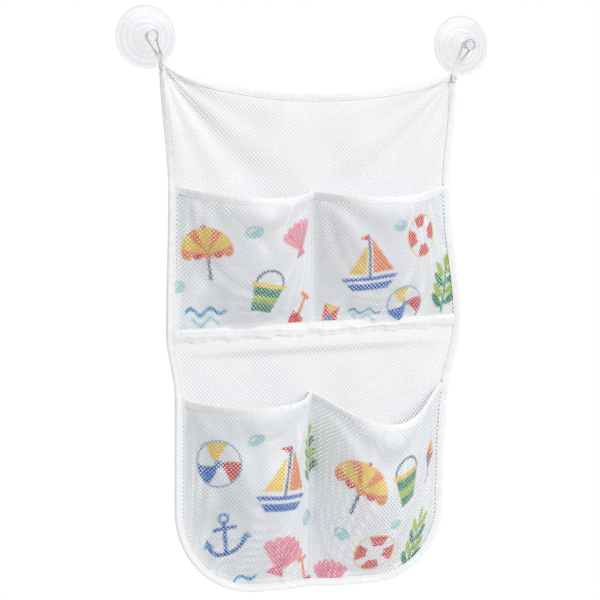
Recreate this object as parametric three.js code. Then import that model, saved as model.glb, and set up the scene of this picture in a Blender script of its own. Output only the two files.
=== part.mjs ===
// A hanging mesh organizer for bath toys: a back panel with two rows of twin pockets, bound at every
// edge with folded tape, and hung by two corner loops on two clear suction cups.
// Millimetres, +Z up, front towards -Y. The origin lies midway between the cups, on the wall plane.
import * as THREE from "three";

// Cloth, tape and thread
const CLEARANCE = 0.3;
const CLOTH = 0.8;
const TAPE = 0.6;
const TAPE_WIDTH = 6;
const THREAD = 0.6;
const STITCH_INSET = 1.6;
const SEAM_WIDTH = 3;

// Outline of the bag: heights from the top down, and half-widths of the cut cloth at those heights
const LOOP_DROP = 26;
const HEADER_HEIGHT = 101;
const UPPER_POCKET_HEIGHT = 116;
const ROW_GAP = 54;
const LOWER_POCKET_HEIGHT = 167;
const TOP_SAG = 19;
const TOP_HALF_WIDTH = 136;
const UPPER_MOUTH_HALF_WIDTH = 128.5;
const UPPER_FOOT_HALF_WIDTH = 130;
const LOWER_MOUTH_HALF_WIDTH = 122;
const BOTTOM_HALF_WIDTH = 122;
const RIGHT_SWELL = 12;
const RIGHT_SWELL_REACH = 75;
const LOWER_RIGHT_SWELL = 4;
const BOTTOM_RADIUS = 72;
const NOTCH_DEPTH = 1.5;
const NOTCH_WIDTH = 18;

// Gaps that stand for the open mesh of the back panel: how many, and the closed strips beside them
const GAPS_PER_HALF = 5;
const GAP_ROWS = 15;
const SEAM_STRIP = 10;
const EDGE_STRIP = 11;

// Drape of the back panel
const WALL_STANDOFF = 1.5;
const FOLD_DEPTH = 2.6;
const FOLD_REACH = 55;
const FOLD_COUNT = 3;
const BAND_FOLD_DEPTH = 4;
const BAND_FOLD_HEIGHT = 12;

// Pockets: how far each row stands out, how far each mouth dips, draws in and climbs from the middle seam to
// the side, how the cloth swells and leans towards the middle seam, and what share of the swell each pocket
// lacks at its outer foot
const UPPER_BULGE = 38;
const LOWER_BULGE = 48;
const UPPER_LEFT_DIP = 7;
const UPPER_RIGHT_DIP = 6;
const LOWER_LEFT_DIP = 8;
const LOWER_RIGHT_DIP = 28;
const UPPER_SIDE_CLIMB = 4;
const LOWER_LEFT_CLIMB = 0;
const LOWER_RIGHT_CLIMB = 3;
const SWELL_ACROSS = 2.4;
const SWELL_UP = 2.2;
const SWELL_LEAN = 1.3;
const SLACK_ACROSS = 0.32;
const SLACK_UP = 0.5;
const UPPER_LEFT_SLACK = 0.75;
const UPPER_RIGHT_SLACK = 0.15;
const LOWER_LEFT_SLACK = 0.2;
const LOWER_RIGHT_SLACK = 0.2;
const UPPER_DRAW_IN = 5.7;
const LOWER_DRAW_IN = 7.2;
const HEM_HEIGHT = 7;
const FLANGE_MARGIN = 2;

// Suction cups
const CUP_OUTSET = 10;
const CUP_DIAMETER = 52;
const LIP_WIDTH = 3.5;
const LIP_THICKNESS = 1;
const CUP_HOLLOW = 3;
const DISH_CURVE = 1.6;
const RIDGE_DIAMETER = 40;
const RIDGE_WIDTH = 2;
const RIDGE_HEIGHT = 0.8;
const BOSS_HEIGHT = 8.5;
const NECK_DIAMETER = 6.4;
const NECK_LENGTH = 7.5;
const HEAD_DIAMETER = 9.6;
const HEAD_TAPER = 1.25;
const HEAD_BAND = 1.25;
const HEAD_DOME = 2.5;

// Hanging loops
const LOOP_THICKNESS = 2.6;
const LOOP_EASE = 1.6;
const LOOP_TAIL = 9;
const TACK_HEIGHT = 2.4;

// Levels and places that follow from the sizes above
const TOP_Z = -LOOP_DROP;
const UPPER_MOUTH_Z = TOP_Z - HEADER_HEIGHT;
const UPPER_FOOT_Z = UPPER_MOUTH_Z - UPPER_POCKET_HEIGHT;
const LOWER_MOUTH_Z = UPPER_FOOT_Z - ROW_GAP;
const BOTTOM_Z = LOWER_MOUTH_Z - LOWER_POCKET_HEIGHT;
const CUP_X = TOP_HALF_WIDTH + CUP_OUTSET;
const LOOP_Y = -(BOSS_HEIGHT + NECK_LENGTH / 2);
const LAYER = CLOTH + CLEARANCE;
const UNDER_TAPE = CLOTH / 2 + CLEARANCE;
const EDGE_FRONT = UNDER_TAPE + LAYER;
const DRAPE_TOP = LOOP_Y + EDGE_FRONT + TAPE + CLEARANCE + LOOP_THICKNESS / 2;
const DRAPE_BOTTOM = -(WALL_STANDOFF + UNDER_TAPE + TAPE);
const FLANGE = TAPE_WIDTH + FLANGE_MARGIN;
const LEFT = -1;
const RIGHT = 1;

const { lerp, smoothstep, clamp } = THREE.MathUtils;

const meshCloth = new THREE.MeshStandardMaterial({ color: 0xf1f2f1, roughness: 0.85, metalness: 0 });
const printedCloth = new THREE.MeshStandardMaterial({ color: 0xe3eef0, roughness: 0.85, metalness: 0 });
const whiteTape = new THREE.MeshStandardMaterial({ color: 0xfafafa, roughness: 0.7, metalness: 0 });
const whiteThread = new THREE.MeshStandardMaterial({ color: 0xf4f4f2, roughness: 0.6, metalness: 0 });
const clearVinyl = new THREE.MeshStandardMaterial({ color: 0xdfe6e8, roughness: 0.1, metalness: 0 });

// Closed solid from points and triangles, with its faces turned outwards
function solid(points, faces) {
  let volume = 0;
  for (let k = 0; k < faces.length; k += 3) {
    const [a, b, c] = [points[faces[k]], points[faces[k + 1]], points[faces[k + 2]]];
    volume += a.dot(b.clone().cross(c));
  }
  const geometry = new THREE.BufferGeometry().setFromPoints(points);
  geometry.setIndex(volume < 0 ? [...faces].reverse() : faces);
  return geometry;
}

// Cloth: two grids of points, front and back, joined round their four edges and round each gap
function skin(front, back, isGap = () => false) {
  const columns = front.length;
  const rows = front[0].length;
  const points = [...front.flat(), ...back.flat()];
  const at = (side, i, j) => side * columns * rows + i * rows + j;
  const faces = [];
  const quad = (a, b, c, d) => faces.push(a, b, c, a, c, d);
  for (let i = 0; i < columns - 1; i += 1) {
    for (let j = 0; j < rows - 1; j += 1) {
      const corners = [[i, j], [i + 1, j], [i + 1, j + 1], [i, j + 1]];
      if (isGap(i, j)) {
        corners.forEach((corner, k) => {
          const next = corners[(k + 1) % corners.length];
          quad(at(0, ...corner), at(0, ...next), at(1, ...next), at(1, ...corner));
        });
      } else {
        quad(...corners.map((corner) => at(0, ...corner)));
        quad(...corners.map((corner) => at(1, ...corner)).reverse());
      }
    }
  }
  for (let i = 0; i < columns - 1; i += 1) {
    const last = rows - 1;
    quad(at(0, i, 0), at(1, i, 0), at(1, i + 1, 0), at(0, i + 1, 0));
    quad(at(0, i, last), at(0, i + 1, last), at(1, i + 1, last), at(1, i, last));
  }
  for (let j = 0; j < rows - 1; j += 1) {
    const last = columns - 1;
    quad(at(0, 0, j), at(0, 0, j + 1), at(1, 0, j + 1), at(1, 0, j));
    quad(at(0, last, j), at(1, last, j), at(1, last, j + 1), at(0, last, j + 1));
  }
  return solid(points, faces);
}

// Tape or thread: a section of [inset, depth] points carried along a row of places, with closed ends
function sweep(places, section) {
  const count = section.length;
  const points = places.flatMap((place) => section.map(([inset, depth]) => place(inset, depth)));
  const faces = [];
  for (let s = 0; s < places.length - 1; s += 1) {
    for (let k = 0; k < count; k += 1) {
      const next = (k + 1) % count;
      const [a, b, c, d] = [s * count + k, s * count + next, (s + 1) * count + next, (s + 1) * count + k];
      faces.push(a, b, c, a, c, d);
    }
  }
  const flat = section.map(([inset, depth]) => new THREE.Vector2(inset, depth));
  const end = (places.length - 1) * count;
  for (const [a, b, c] of THREE.ShapeUtils.triangulateShape(flat, [])) {
    faces.push(c, b, a, end + a, end + b, end + c);
  }
  return solid(points, faces);
}

// Section of a tape folded over an edge, leaving room for the cloth behind and in front of it
function foldedTape(back, front) {
  const outside = -(CLEARANCE + TAPE);
  const inside = -CLEARANCE;
  return [
    [outside, -(back + TAPE)],
    [TAPE_WIDTH, -(back + TAPE)],
    [TAPE_WIDTH, -back],
    [inside, -back],
    [inside, front],
    [TAPE_WIDTH, front],
    [TAPE_WIDTH, front + TAPE],
    [outside, front + TAPE],
  ];
}

// Section of a row of thread lying on a surface at the given inset and depth
function threadOn(inset, depth) {
  const half = THREAD / 2;
  const low = depth + CLEARANCE;
  return [
    [inset - half, low],
    [inset + half, low],
    [inset + half, low + THREAD],
    [inset - half, low + THREAD],
  ];
}

const tapeThread = (front) => threadOn(TAPE_WIDTH - STITCH_INSET, front + TAPE);

// Width of the bag from its middle to a side, at a height: it draws in where the pockets fill, and the
// right side swells out again at the foot of the upper row and stays a little wider below
const SIDE = [
  [TOP_Z, TOP_HALF_WIDTH],
  [UPPER_MOUTH_Z, UPPER_MOUTH_HALF_WIDTH],
  [UPPER_FOOT_Z, UPPER_FOOT_HALF_WIDTH],
  [LOWER_MOUTH_Z, LOWER_MOUTH_HALF_WIDTH],
  [BOTTOM_Z + BOTTOM_RADIUS, BOTTOM_HALF_WIDTH],
];

function cutWidth(z) {
  const below = SIDE.findIndex(([level]) => level <= z);
  if (below === 0) return TOP_HALF_WIDTH;
  if (below < 0) return BOTTOM_HALF_WIDTH;
  const [high, wide] = SIDE[below - 1];
  const [low, narrow] = SIDE[below];
  return lerp(narrow, wide, smoothstep(z, low, high));
}

function halfWidth(z, side) {
  if (side <= 0) return cutWidth(z);
  const kept = z < UPPER_FOOT_Z ? LOWER_RIGHT_SWELL : 0;
  const swell = Math.exp(-(((z - UPPER_FOOT_Z) / RIGHT_SWELL_REACH) ** 2));
  return cutWidth(z) + lerp(kept, RIGHT_SWELL, swell);
}

function topEdge(share) {
  return TOP_Z - TOP_SAG * (1 - share ** 2);
}

// Bottom edge of the bag, or a line that runs a set inset above it
function bottomEdge(x, inset = 0) {
  const radius = BOTTOM_RADIUS - inset;
  const round = Math.max(0, Math.abs(x) - (BOTTOM_HALF_WIDTH - BOTTOM_RADIUS));
  const rise = radius - Math.sqrt(Math.max(0, radius ** 2 - round ** 2));
  return BOTTOM_Z + inset + rise + NOTCH_DEPTH * Math.exp(-((x / NOTCH_WIDTH) ** 2));
}

// How far in front of the wall the back panel hangs: folds fan out from both top corners, and the cloth
// buckles once between the two rows of pockets
function cornerFolds(fromSide, fromTop) {
  const distance = Math.hypot(fromSide, fromTop) / FOLD_REACH;
  const turn = Math.atan2(Math.max(0, fromTop), fromSide) / (Math.PI / 2);
  const clearOfTape = 2 * TAPE_WIDTH;
  const fade = smoothstep(Math.min(fromSide, fromTop), clearOfTape, clearOfTape + FOLD_REACH / 2);
  return FOLD_DEPTH * fade * distance * Math.exp(1 - distance) * Math.sin(FOLD_COUNT * Math.PI * turn);
}

function drape(x, z) {
  const half = halfWidth(z, x);
  const fromTop = topEdge(x / TOP_HALF_WIDTH) - z;
  const hang = lerp(DRAPE_TOP, DRAPE_BOTTOM, smoothstep(-z, -TOP_Z, -BOTTOM_Z));
  const band = (z - (UPPER_FOOT_Z + LOWER_MOUTH_Z) / 2) / BAND_FOLD_HEIGHT;
  const fromSides = clamp(1 - (x / half) ** 2, 0, 1);
  const buckle = BAND_FOLD_DEPTH * Math.exp(-(band ** 2)) * fromSides;
  const folds = cornerFolds(halfWidth(z, LEFT) + x, fromTop) + cornerFolds(halfWidth(z, RIGHT) - x, fromTop);
  return hang - buckle - folds;
}

// Back panel: gaps and bars take turns from the middle seam to the edge strip, whose columns follow the round
// of the bottom corner
const CORNER_STEPS = 3;
const PANEL_ROWS = 2 * GAP_ROWS + 1;
const HALF_COLUMNS = 2 * GAPS_PER_HALF + CORNER_STEPS;

function panelShares() {
  const straight = BOTTOM_HALF_WIDTH - BOTTOM_RADIUS;
  const first = SEAM_STRIP / 2;
  const last = BOTTOM_HALF_WIDTH - EDGE_STRIP;
  const right = [];
  for (let k = 0; k < 2 * GAPS_PER_HALF; k += 1) {
    right.push(lerp(first, last, k / (2 * GAPS_PER_HALF - 1)));
  }
  const turn = Math.asin(clamp((last - straight) / BOTTOM_RADIUS, 0, 1));
  for (let k = 1; k <= CORNER_STEPS; k += 1) {
    right.push(straight + BOTTOM_RADIUS * Math.sin(lerp(turn, Math.PI / 2, k / CORNER_STEPS)));
  }
  const shares = right.map((x) => x / BOTTOM_HALF_WIDTH);
  return [...shares.map((share) => -share).reverse(), 0, ...shares];
}

function isPanelGap(column, row) {
  const fromMiddle = column < HALF_COLUMNS ? HALF_COLUMNS - 1 - column : column - HALF_COLUMNS;
  return fromMiddle % 2 === 1 && fromMiddle < 2 * GAPS_PER_HALF && row % 2 === 1;
}

const panelGrid = panelShares().map((share) => {
  const cutX = share * BOTTOM_HALF_WIDTH;
  const column = [];
  for (let row = 0; row <= PANEL_ROWS; row += 1) {
    const z = lerp(topEdge(share), bottomEdge(cutX), row / PANEL_ROWS);
    column.push({ x: share * halfWidth(z, share), z, cutX });
  }
  return column;
});

// Height of the panel's faceted bottom edge at a place on the straight-sided cut, where the lower pocket
// cloth ends too
function panelFoot(cutX) {
  const foot = panelGrid.map((column) => column[PANEL_ROWS]);
  const after = clamp(foot.findLastIndex((point) => point.cutX <= cutX) + 1, 1, foot.length - 1);
  const [a, b] = [foot[after - 1], foot[after]];
  return lerp(a.z, b.z, (cutX - a.cutX) / (b.cutX - a.cutX));
}

function panelFace(depth) {
  return panelGrid.map((column) =>
    column.map(({ x, z }) => new THREE.Vector3(x, drape(x, z) - depth, z)),
  );
}

// Places along an edge of the panel: an inset runs into the cloth, a depth stands in front of its middle
function panelPlaces(edge, inward) {
  return edge.map(({ x, z }, k) => {
    const [nx, nz] = inward(k);
    return (inset, depth) => {
      const [px, pz] = [x + inset * nx, z + inset * nz];
      return new THREE.Vector3(px, drape(px, pz) - depth, pz);
    };
  });
}

const lastColumn = panelGrid.length - 1;
const sidesAndBottom = [
  ...panelGrid[0].slice(0, -1),
  ...panelGrid.map((column) => column[PANEL_ROWS]),
  ...panelGrid[lastColumn].slice(0, -1).reverse(),
];

function squareToOutline(k) {
  const before = sidesAndBottom[Math.max(0, k - 1)];
  const after = sidesAndBottom[Math.min(sidesAndBottom.length - 1, k + 1)];
  const [dx, dz] = [after.x - before.x, after.z - before.z];
  const length = Math.hypot(dx, dz);
  return [-dz / length, dx / length];
}

const edgePlaces = panelPlaces(sidesAndBottom, squareToOutline);
const tailEnd = TOP_Z - LOOP_TAIL - STITCH_INSET;
const edgeThreadPlaces = edgePlaces.filter((_, k) => sidesAndBottom[k].z < tailEnd);

// The top tape ends where the side tapes begin
const TOP_STEPS = 20;
const topReach = 1 - (TAPE_WIDTH + CLEARANCE) / TOP_HALF_WIDTH;
const topLine = [];
for (let step = 0; step <= TOP_STEPS; step += 1) {
  const share = lerp(-topReach, topReach, step / TOP_STEPS);
  const z = topEdge(share);
  topLine.push({ x: share * halfWidth(z, share), z });
}
const topPlaces = panelPlaces(topLine, () => [0, -1]);

// A row of pockets. Columns run from the side edge, over the flat flange under the edge tape, across the
// swell of the pocket to the middle seam, and back. Rows run from the foot to the mouth. Both lie closer
// together at the seams, and the cloth stands off a little where the mouth tape passes behind it.
const FLANGE_STEP = 3;
const TAPED_DEPTH = 2 * TAPE_WIDTH;
const ACROSS = [0, 0.04, 0.1, 0.2, 0.3, 0.4, 0.5, 0.6, 0.7, 0.8, 0.9, 0.96, 1];
const UP = [0, 0.07, 0.16, 0.28, 0.42, 0.57, 0.72, 0.86, 1];
const FIRST_TAPED = ACROSS[1];
const FIRST_PLAIN_ROW = 2;

function pocketColumns() {
  const half = (side) => [
    { side, inset: 0, across: 0 },
    { side, inset: FLANGE_STEP, across: 0 },
    ...ACROSS.map((across) => ({ side, inset: FLANGE, across })),
  ];
  return [...half(LEFT), ...half(RIGHT).reverse()];
}

function columnX({ side, inset, across }, half) {
  return side * (half - inset - across * (half - FLANGE - SEAM_WIDTH / 2));
}

function pocketRow({ mouth, bulge, drawIn, dips, climbs, slack, footAt, flatTo }) {
  const columns = pocketColumns();
  const middle = columns.map((column) => {
    const footX = columnX(column, BOTTOM_HALF_WIDTH);
    const climb = climbs[column.side] * (1 - column.across) ** 2;
    const lip = mouth + climb - dips[column.side] * (1 - (2 * column.across - 1) ** 2);
    const heights = [footAt(footX), ...UP.map((up) => lerp(flatTo(footX), lip, up))];
    return heights.map((z, row) => {
      const x = columnX(column, halfWidth(z, column.side));
      const up = row === 0 ? 0 : UP[row - 1];
      const crown = 1 - Math.abs(2 * column.across ** SWELL_LEAN - 1) ** SWELL_ACROSS;
      const rise = 1 - (1 - up) ** SWELL_UP;
      const fromFoot = (column.across / SLACK_ACROSS) ** 2 + (up / SLACK_UP) ** 2;
      const fullness = 1 - slack[column.side] * Math.exp(-fromFoot);
      const stand = (bulge - drawIn * up ** 2) * crown * rise * fullness;
      const taped = smoothstep(z, lip - 2 * TAPED_DEPTH, lip - TAPED_DEPTH);
      const room = (TAPE + CLEARANCE) * taped * smoothstep(column.across, 0, FIRST_TAPED);
      return new THREE.Vector3(x, drape(x, z) - LAYER - room - stand, z);
    });
  });
  return { columns, middle, normals: normalsOf(middle) };
}

function normalsOf(grid) {
  return grid.map((column, i) =>
    column.map((_, j) => {
      const across = grid[Math.min(grid.length - 1, i + 1)][j].clone().sub(grid[Math.max(0, i - 1)][j]);
      const up = column[Math.min(column.length - 1, j + 1)].clone().sub(column[Math.max(0, j - 1)]);
      return across.cross(up).normalize();
    }),
  );
}

function pocketFace({ columns, middle, normals }, offset) {
  return middle.map((column, i) =>
    column.map((point, j) => point.clone().addScaledVector(normals[i][j], offset(columns[i], j))),
  );
}

// Places along the mouth of a row, between the two edge tapes
function mouthPlaces({ columns, middle, normals }) {
  const top = middle[0].length - 1;
  return columns.flatMap((column, i) => {
    if (column.across < FIRST_TAPED) return [];
    const edge = middle[i][top];
    const down = middle[i][top - 1].clone().sub(edge).normalize();
    const place = (inset, depth) =>
      edge.clone().addScaledVector(down, inset).addScaledVector(normals[i][top], depth);
    return [place];
  });
}

// Places up the middle seam of a row, from its foot to the mouth tape
function dividerPlaces({ columns, middle }) {
  const seam = columns.findIndex((column) => column.across === 1);
  const rows = middle[seam].slice(FIRST_PLAIN_ROW, -1);
  return rows.map((left, j) => {
    const spot = left.clone().lerp(middle[seam + 1][j + FIRST_PLAIN_ROW], 0.5);
    return (inset, depth) => new THREE.Vector3(spot.x + inset, spot.y - depth, spot.z);
  });
}

// Places along the turned-up hem at the foot of a row
function hemPlaces({ columns, middle }) {
  return columns.flatMap((column, i) => {
    if (column.across < FIRST_TAPED) return [];
    const [foot, top] = middle[i];
    const up = top.clone().sub(foot).normalize();
    return [
      (inset, depth) => {
        const spot = foot.clone().addScaledVector(up, inset);
        spot.y -= depth;
        return spot;
      },
    ];
  });
}

const upperRow = pocketRow({
  mouth: UPPER_MOUTH_Z,
  bulge: UPPER_BULGE,
  drawIn: UPPER_DRAW_IN,
  dips: { [LEFT]: UPPER_LEFT_DIP, [RIGHT]: UPPER_RIGHT_DIP },
  climbs: { [LEFT]: UPPER_SIDE_CLIMB, [RIGHT]: UPPER_SIDE_CLIMB },
  slack: { [LEFT]: UPPER_LEFT_SLACK, [RIGHT]: UPPER_RIGHT_SLACK },
  footAt: () => UPPER_FOOT_Z,
  flatTo: () => UPPER_FOOT_Z + HEM_HEIGHT,
});
const lowerRow = pocketRow({
  mouth: LOWER_MOUTH_Z,
  bulge: LOWER_BULGE,
  drawIn: LOWER_DRAW_IN,
  dips: { [LEFT]: LOWER_LEFT_DIP, [RIGHT]: LOWER_RIGHT_DIP },
  climbs: { [LEFT]: LOWER_LEFT_CLIMB, [RIGHT]: LOWER_RIGHT_CLIMB },
  slack: { [LEFT]: LOWER_LEFT_SLACK, [RIGHT]: LOWER_RIGHT_SLACK },
  footAt: panelFoot,
  flatTo: (x) => bottomEdge(x, FLANGE) + FLANGE_MARGIN,
});

// The hem at the foot of the upper row is a second layer of cloth
const HEM_FRONT = CLOTH / 2 + CLOTH;
const plainFront = () => CLOTH / 2;
const clothBack = () => -CLOTH / 2;
const hemmedFront = ({ across }, row) => {
  const hemmed = row < FIRST_PLAIN_ROW && across >= FIRST_TAPED;
  return hemmed ? HEM_FRONT : CLOTH / 2;
};

// Hanging loop: two tails lie on the bag's corner, and the loop between them passes over the neck of the cup
const LOOP_SIDES = 8;
const LOOP_STEPS = 44;
const CROWN_STEPS = 8;
const TAIL_OFFSET = LOOP_THICKNESS / 2 + CLEARANCE;
const LOOP_RADIUS = HEAD_DIAMETER / 2 + LOOP_EASE + LOOP_THICKNESS / 2;
const LOOP_TOP = NECK_DIAMETER / 2 + CLEARANCE + LOOP_THICKNESS / 2;

function loopPath(side) {
  const root = new THREE.Vector3(side * (TOP_HALF_WIDTH - TAPE_WIDTH / 2), LOOP_Y, TOP_Z);
  const neck = new THREE.Vector3(side * CUP_X, LOOP_Y, 0);
  const axis = neck.clone().sub(root).normalize();
  const lateral = new THREE.Vector3(axis.z, 0, -axis.x);
  const centre = neck.clone().addScaledVector(axis, LOOP_TOP - LOOP_RADIUS);
  const reach = root.distanceTo(centre);
  const up = new THREE.Vector3(0, 0, 1);
  const legOf = (hand) => {
    const start = root.clone().add(new THREE.Vector3(hand * TAIL_OFFSET, 0, 0));
    const shoulder = centre.clone().addScaledVector(lateral, hand * LOOP_RADIUS);
    const tail = start.clone().addScaledVector(up, -LOOP_TAIL);
    return { tail, start, shoulder };
  };
  const rising = legOf(LEFT);
  const falling = legOf(RIGHT);
  const leg = ({ start, shoulder }) => [
    start,
    start.clone().addScaledVector(up, reach / 3),
    shoulder.clone().addScaledVector(axis, -reach / 2),
    shoulder,
  ];
  const crown = new THREE.CatmullRomCurve3(
    Array.from({ length: CROWN_STEPS + 1 }, (_, k) => {
      const turn = Math.PI * (1 - k / CROWN_STEPS);
      return centre
        .clone()
        .addScaledVector(lateral, LOOP_RADIUS * Math.cos(turn))
        .addScaledVector(axis, LOOP_RADIUS * Math.sin(turn));
    }),
  );
  const path = new THREE.CurvePath();
  path.add(new THREE.LineCurve3(rising.tail, rising.start));
  path.add(new THREE.CubicBezierCurve3(...leg(rising)));
  path.add(crown);
  path.add(new THREE.CubicBezierCurve3(...leg(falling).reverse()));
  path.add(new THREE.LineCurve3(falling.start, falling.tail));
  return path;
}

function loopGeometry(side) {
  const section = new THREE.Shape();
  section.absarc(0, 0, LOOP_THICKNESS / 2, 0, Math.PI * 2, false);
  return new THREE.ExtrudeGeometry(section, {
    extrudePath: loopPath(side),
    steps: LOOP_STEPS,
    curveSegments: LOOP_SIDES / 2,
    bevelEnabled: false,
  });
}

// Bar tack across both tails of a loop
function tackGeometry() {
  return new THREE.BoxGeometry(2 * (TAIL_OFFSET + LOOP_THICKNESS / 2), THREAD, TACK_HEIGHT);
}

// Suction cup: a dished disc with a lip on the wall, a grip ridge, a boss, a neck and a mushroom head
const CUP_SEGMENTS = 36;
const HOLLOW_STEPS = 5;
const HEAD_STEPS = 4;
const SLOPE_SHARES = [0.4, 0.75];

function cupGeometry() {
  const rim = CUP_DIAMETER / 2;
  const neck = NECK_DIAMETER / 2;
  const head = HEAD_DIAMETER / 2;
  const lip = rim - LIP_WIDTH;
  const outer = (r) => {
    const share = (rim - r) / (rim - neck);
    return LIP_THICKNESS + (BOSS_HEIGHT - LIP_THICKNESS) * share ** DISH_CURVE;
  };
  const profile = [];
  for (let k = 0; k <= HOLLOW_STEPS; k += 1) {
    const share = k / HOLLOW_STEPS;
    profile.push([lip * share, CUP_HOLLOW * (1 - share ** 2)]);
  }
  profile.push([rim, 0], [rim, LIP_THICKNESS]);
  const ridge = RIDGE_DIAMETER / 2;
  profile.push([ridge + RIDGE_WIDTH, outer(ridge + RIDGE_WIDTH)]);
  profile.push([ridge + RIDGE_WIDTH / 2, outer(ridge) + RIDGE_HEIGHT]);
  profile.push([ridge - RIDGE_WIDTH / 2, outer(ridge) + RIDGE_HEIGHT]);
  profile.push([ridge - RIDGE_WIDTH, outer(ridge - RIDGE_WIDTH)]);
  for (const share of SLOPE_SHARES) {
    const slope = lerp(ridge - RIDGE_WIDTH, neck, share);
    profile.push([slope, outer(slope)]);
  }
  const under = BOSS_HEIGHT + NECK_LENGTH;
  const band = under + HEAD_TAPER;
  profile.push([neck, BOSS_HEIGHT], [neck, under], [head, band]);
  for (let k = 0; k <= HEAD_STEPS; k += 1) {
    const turn = (Math.PI / 2) * (k / HEAD_STEPS);
    const height = band + HEAD_BAND + HEAD_DOME * Math.sin(turn);
    profile.push([k === HEAD_STEPS ? 0 : head * Math.cos(turn), height]);
  }
  const points = profile.map(([r, height]) => new THREE.Vector2(r, -height));
  return new THREE.LatheGeometry(points.reverse(), CUP_SEGMENTS);
}

// Assembly
const organizer = new THREE.Group();

function add(group, name, geometry, material) {
  const mesh = new THREE.Mesh(geometry, material);
  mesh.name = name;
  group.add(mesh);
  return mesh;
}

const bag = new THREE.Group();
organizer.add(bag);
add(bag, "back_panel", skin(panelFace(CLOTH / 2), panelFace(-CLOTH / 2), isPanelGap), meshCloth);
add(bag, "edge_binding", sweep(edgePlaces, foldedTape(UNDER_TAPE, EDGE_FRONT)), whiteTape);
add(bag, "edge_stitching", sweep(edgeThreadPlaces, tapeThread(EDGE_FRONT)), whiteThread);
add(bag, "top_binding", sweep(topPlaces, foldedTape(UNDER_TAPE, UNDER_TAPE)), whiteTape);
add(bag, "top_stitching", sweep(topPlaces, tapeThread(UNDER_TAPE)), whiteThread);

for (const [name, row, front] of [
  ["upper", upperRow, hemmedFront],
  ["lower", lowerRow, plainFront],
]) {
  const cloth = skin(pocketFace(row, front), pocketFace(row, clothBack));
  const mouth = mouthPlaces(row);
  add(bag, name + "_pocket_cloth", cloth, printedCloth);
  add(bag, name + "_mouth_binding", sweep(mouth, foldedTape(UNDER_TAPE, UNDER_TAPE)), whiteTape);
  add(bag, name + "_mouth_stitching", sweep(mouth, tapeThread(UNDER_TAPE)), whiteThread);
  add(bag, name + "_divider_stitching", sweep(dividerPlaces(row), threadOn(0, CLOTH / 2)), whiteThread);
}
const hemThread = threadOn(HEM_HEIGHT - STITCH_INSET, HEM_FRONT);
add(bag, "upper_foot_stitching", sweep(hemPlaces(upperRow), hemThread), whiteThread);

for (const [name, side] of [
  ["left", LEFT],
  ["right", RIGHT],
]) {
  add(bag, name + "_loop", loopGeometry(side), whiteTape);
  const tack = add(bag, name + "_loop_tack", tackGeometry(), whiteThread);
  const tackY = LOOP_Y - LOOP_THICKNESS / 2 - CLEARANCE - THREAD / 2;
  tack.position.set(side * (TOP_HALF_WIDTH - TAPE_WIDTH / 2), tackY, TOP_Z - LOOP_TAIL / 2);
  const cup = add(organizer, name + "_suction_cup", cupGeometry(), clearVinyl);
  cup.position.set(side * CUP_X, 0, 0);
}

export default organizer;
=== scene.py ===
import math

import bmesh
import bpy
import numpy as np
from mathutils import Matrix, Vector


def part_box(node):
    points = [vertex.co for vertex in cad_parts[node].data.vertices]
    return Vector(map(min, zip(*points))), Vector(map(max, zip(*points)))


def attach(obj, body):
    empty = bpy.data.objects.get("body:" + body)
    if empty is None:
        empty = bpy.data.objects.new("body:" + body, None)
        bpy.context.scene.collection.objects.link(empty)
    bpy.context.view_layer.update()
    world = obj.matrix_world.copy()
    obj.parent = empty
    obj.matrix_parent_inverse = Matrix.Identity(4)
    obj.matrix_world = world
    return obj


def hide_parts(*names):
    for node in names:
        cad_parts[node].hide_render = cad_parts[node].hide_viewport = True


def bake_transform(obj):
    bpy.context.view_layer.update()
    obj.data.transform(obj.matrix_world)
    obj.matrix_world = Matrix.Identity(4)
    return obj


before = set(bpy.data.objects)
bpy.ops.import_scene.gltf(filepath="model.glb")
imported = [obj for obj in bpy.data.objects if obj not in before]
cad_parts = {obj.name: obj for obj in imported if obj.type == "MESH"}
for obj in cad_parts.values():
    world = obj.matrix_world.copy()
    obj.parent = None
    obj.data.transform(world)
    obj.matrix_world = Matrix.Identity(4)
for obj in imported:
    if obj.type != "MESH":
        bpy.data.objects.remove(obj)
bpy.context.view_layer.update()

# Studio. The picture is taken from the left of the bag, at the height of its upper pockets, against white.
# A broad soft lamp stands in front on the right, a bright sweep lies behind, and the rest of the room is
# dimmer, most of all below.
VIEW_AZIMUTH = math.radians(-24)
VIEW_ELEVATION = math.radians(3)
VIEW_DISTANCE = 1.9
VIEW_TARGET = Vector((-0.0063, 0.0026, -0.219))
LENS_MM = 134
LAMP_PLACE = Vector((0.85, -1.95, 1.2))
LAMP_SIDE = 1.9
LAMP_WATTS = 42
ROOM_LIGHT, SWEEP_LIGHT, GROUND_SHARE = 0.50, 1.0, 0.6
SWEEP_START, SWEEP_END = -0.3, 0.6
FLOOR_Z, FLOOR_RADIUS, FLOOR_SEGMENTS = -0.6, 0.65, 96

scene = bpy.context.scene
scene.view_settings.view_transform = "Standard"


def stand_up(name, data, place, target):
    """Puts a camera or a lamp at a place, looking at the target."""
    thing = bpy.data.objects.new(name, data)
    scene.collection.objects.link(thing)
    thing.location = place
    thing.rotation_euler = (place - target).to_track_quat("Z", "Y").to_euler()
    return thing


view_direction = Vector((
    math.sin(VIEW_AZIMUTH)*math.cos(VIEW_ELEVATION),
    -math.cos(VIEW_AZIMUTH)*math.cos(VIEW_ELEVATION),
    math.sin(VIEW_ELEVATION),
))
camera = bpy.data.cameras.new("camera")
camera.lens = LENS_MM
scene.camera = stand_up("camera", camera, VIEW_TARGET + VIEW_DISTANCE*view_direction, VIEW_TARGET)
lamp = bpy.data.lights.new("soft_lamp", "AREA")
lamp.size = LAMP_SIDE
lamp.energy = LAMP_WATTS
stand_up("soft_lamp", lamp, LAMP_PLACE, VIEW_TARGET)


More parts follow.
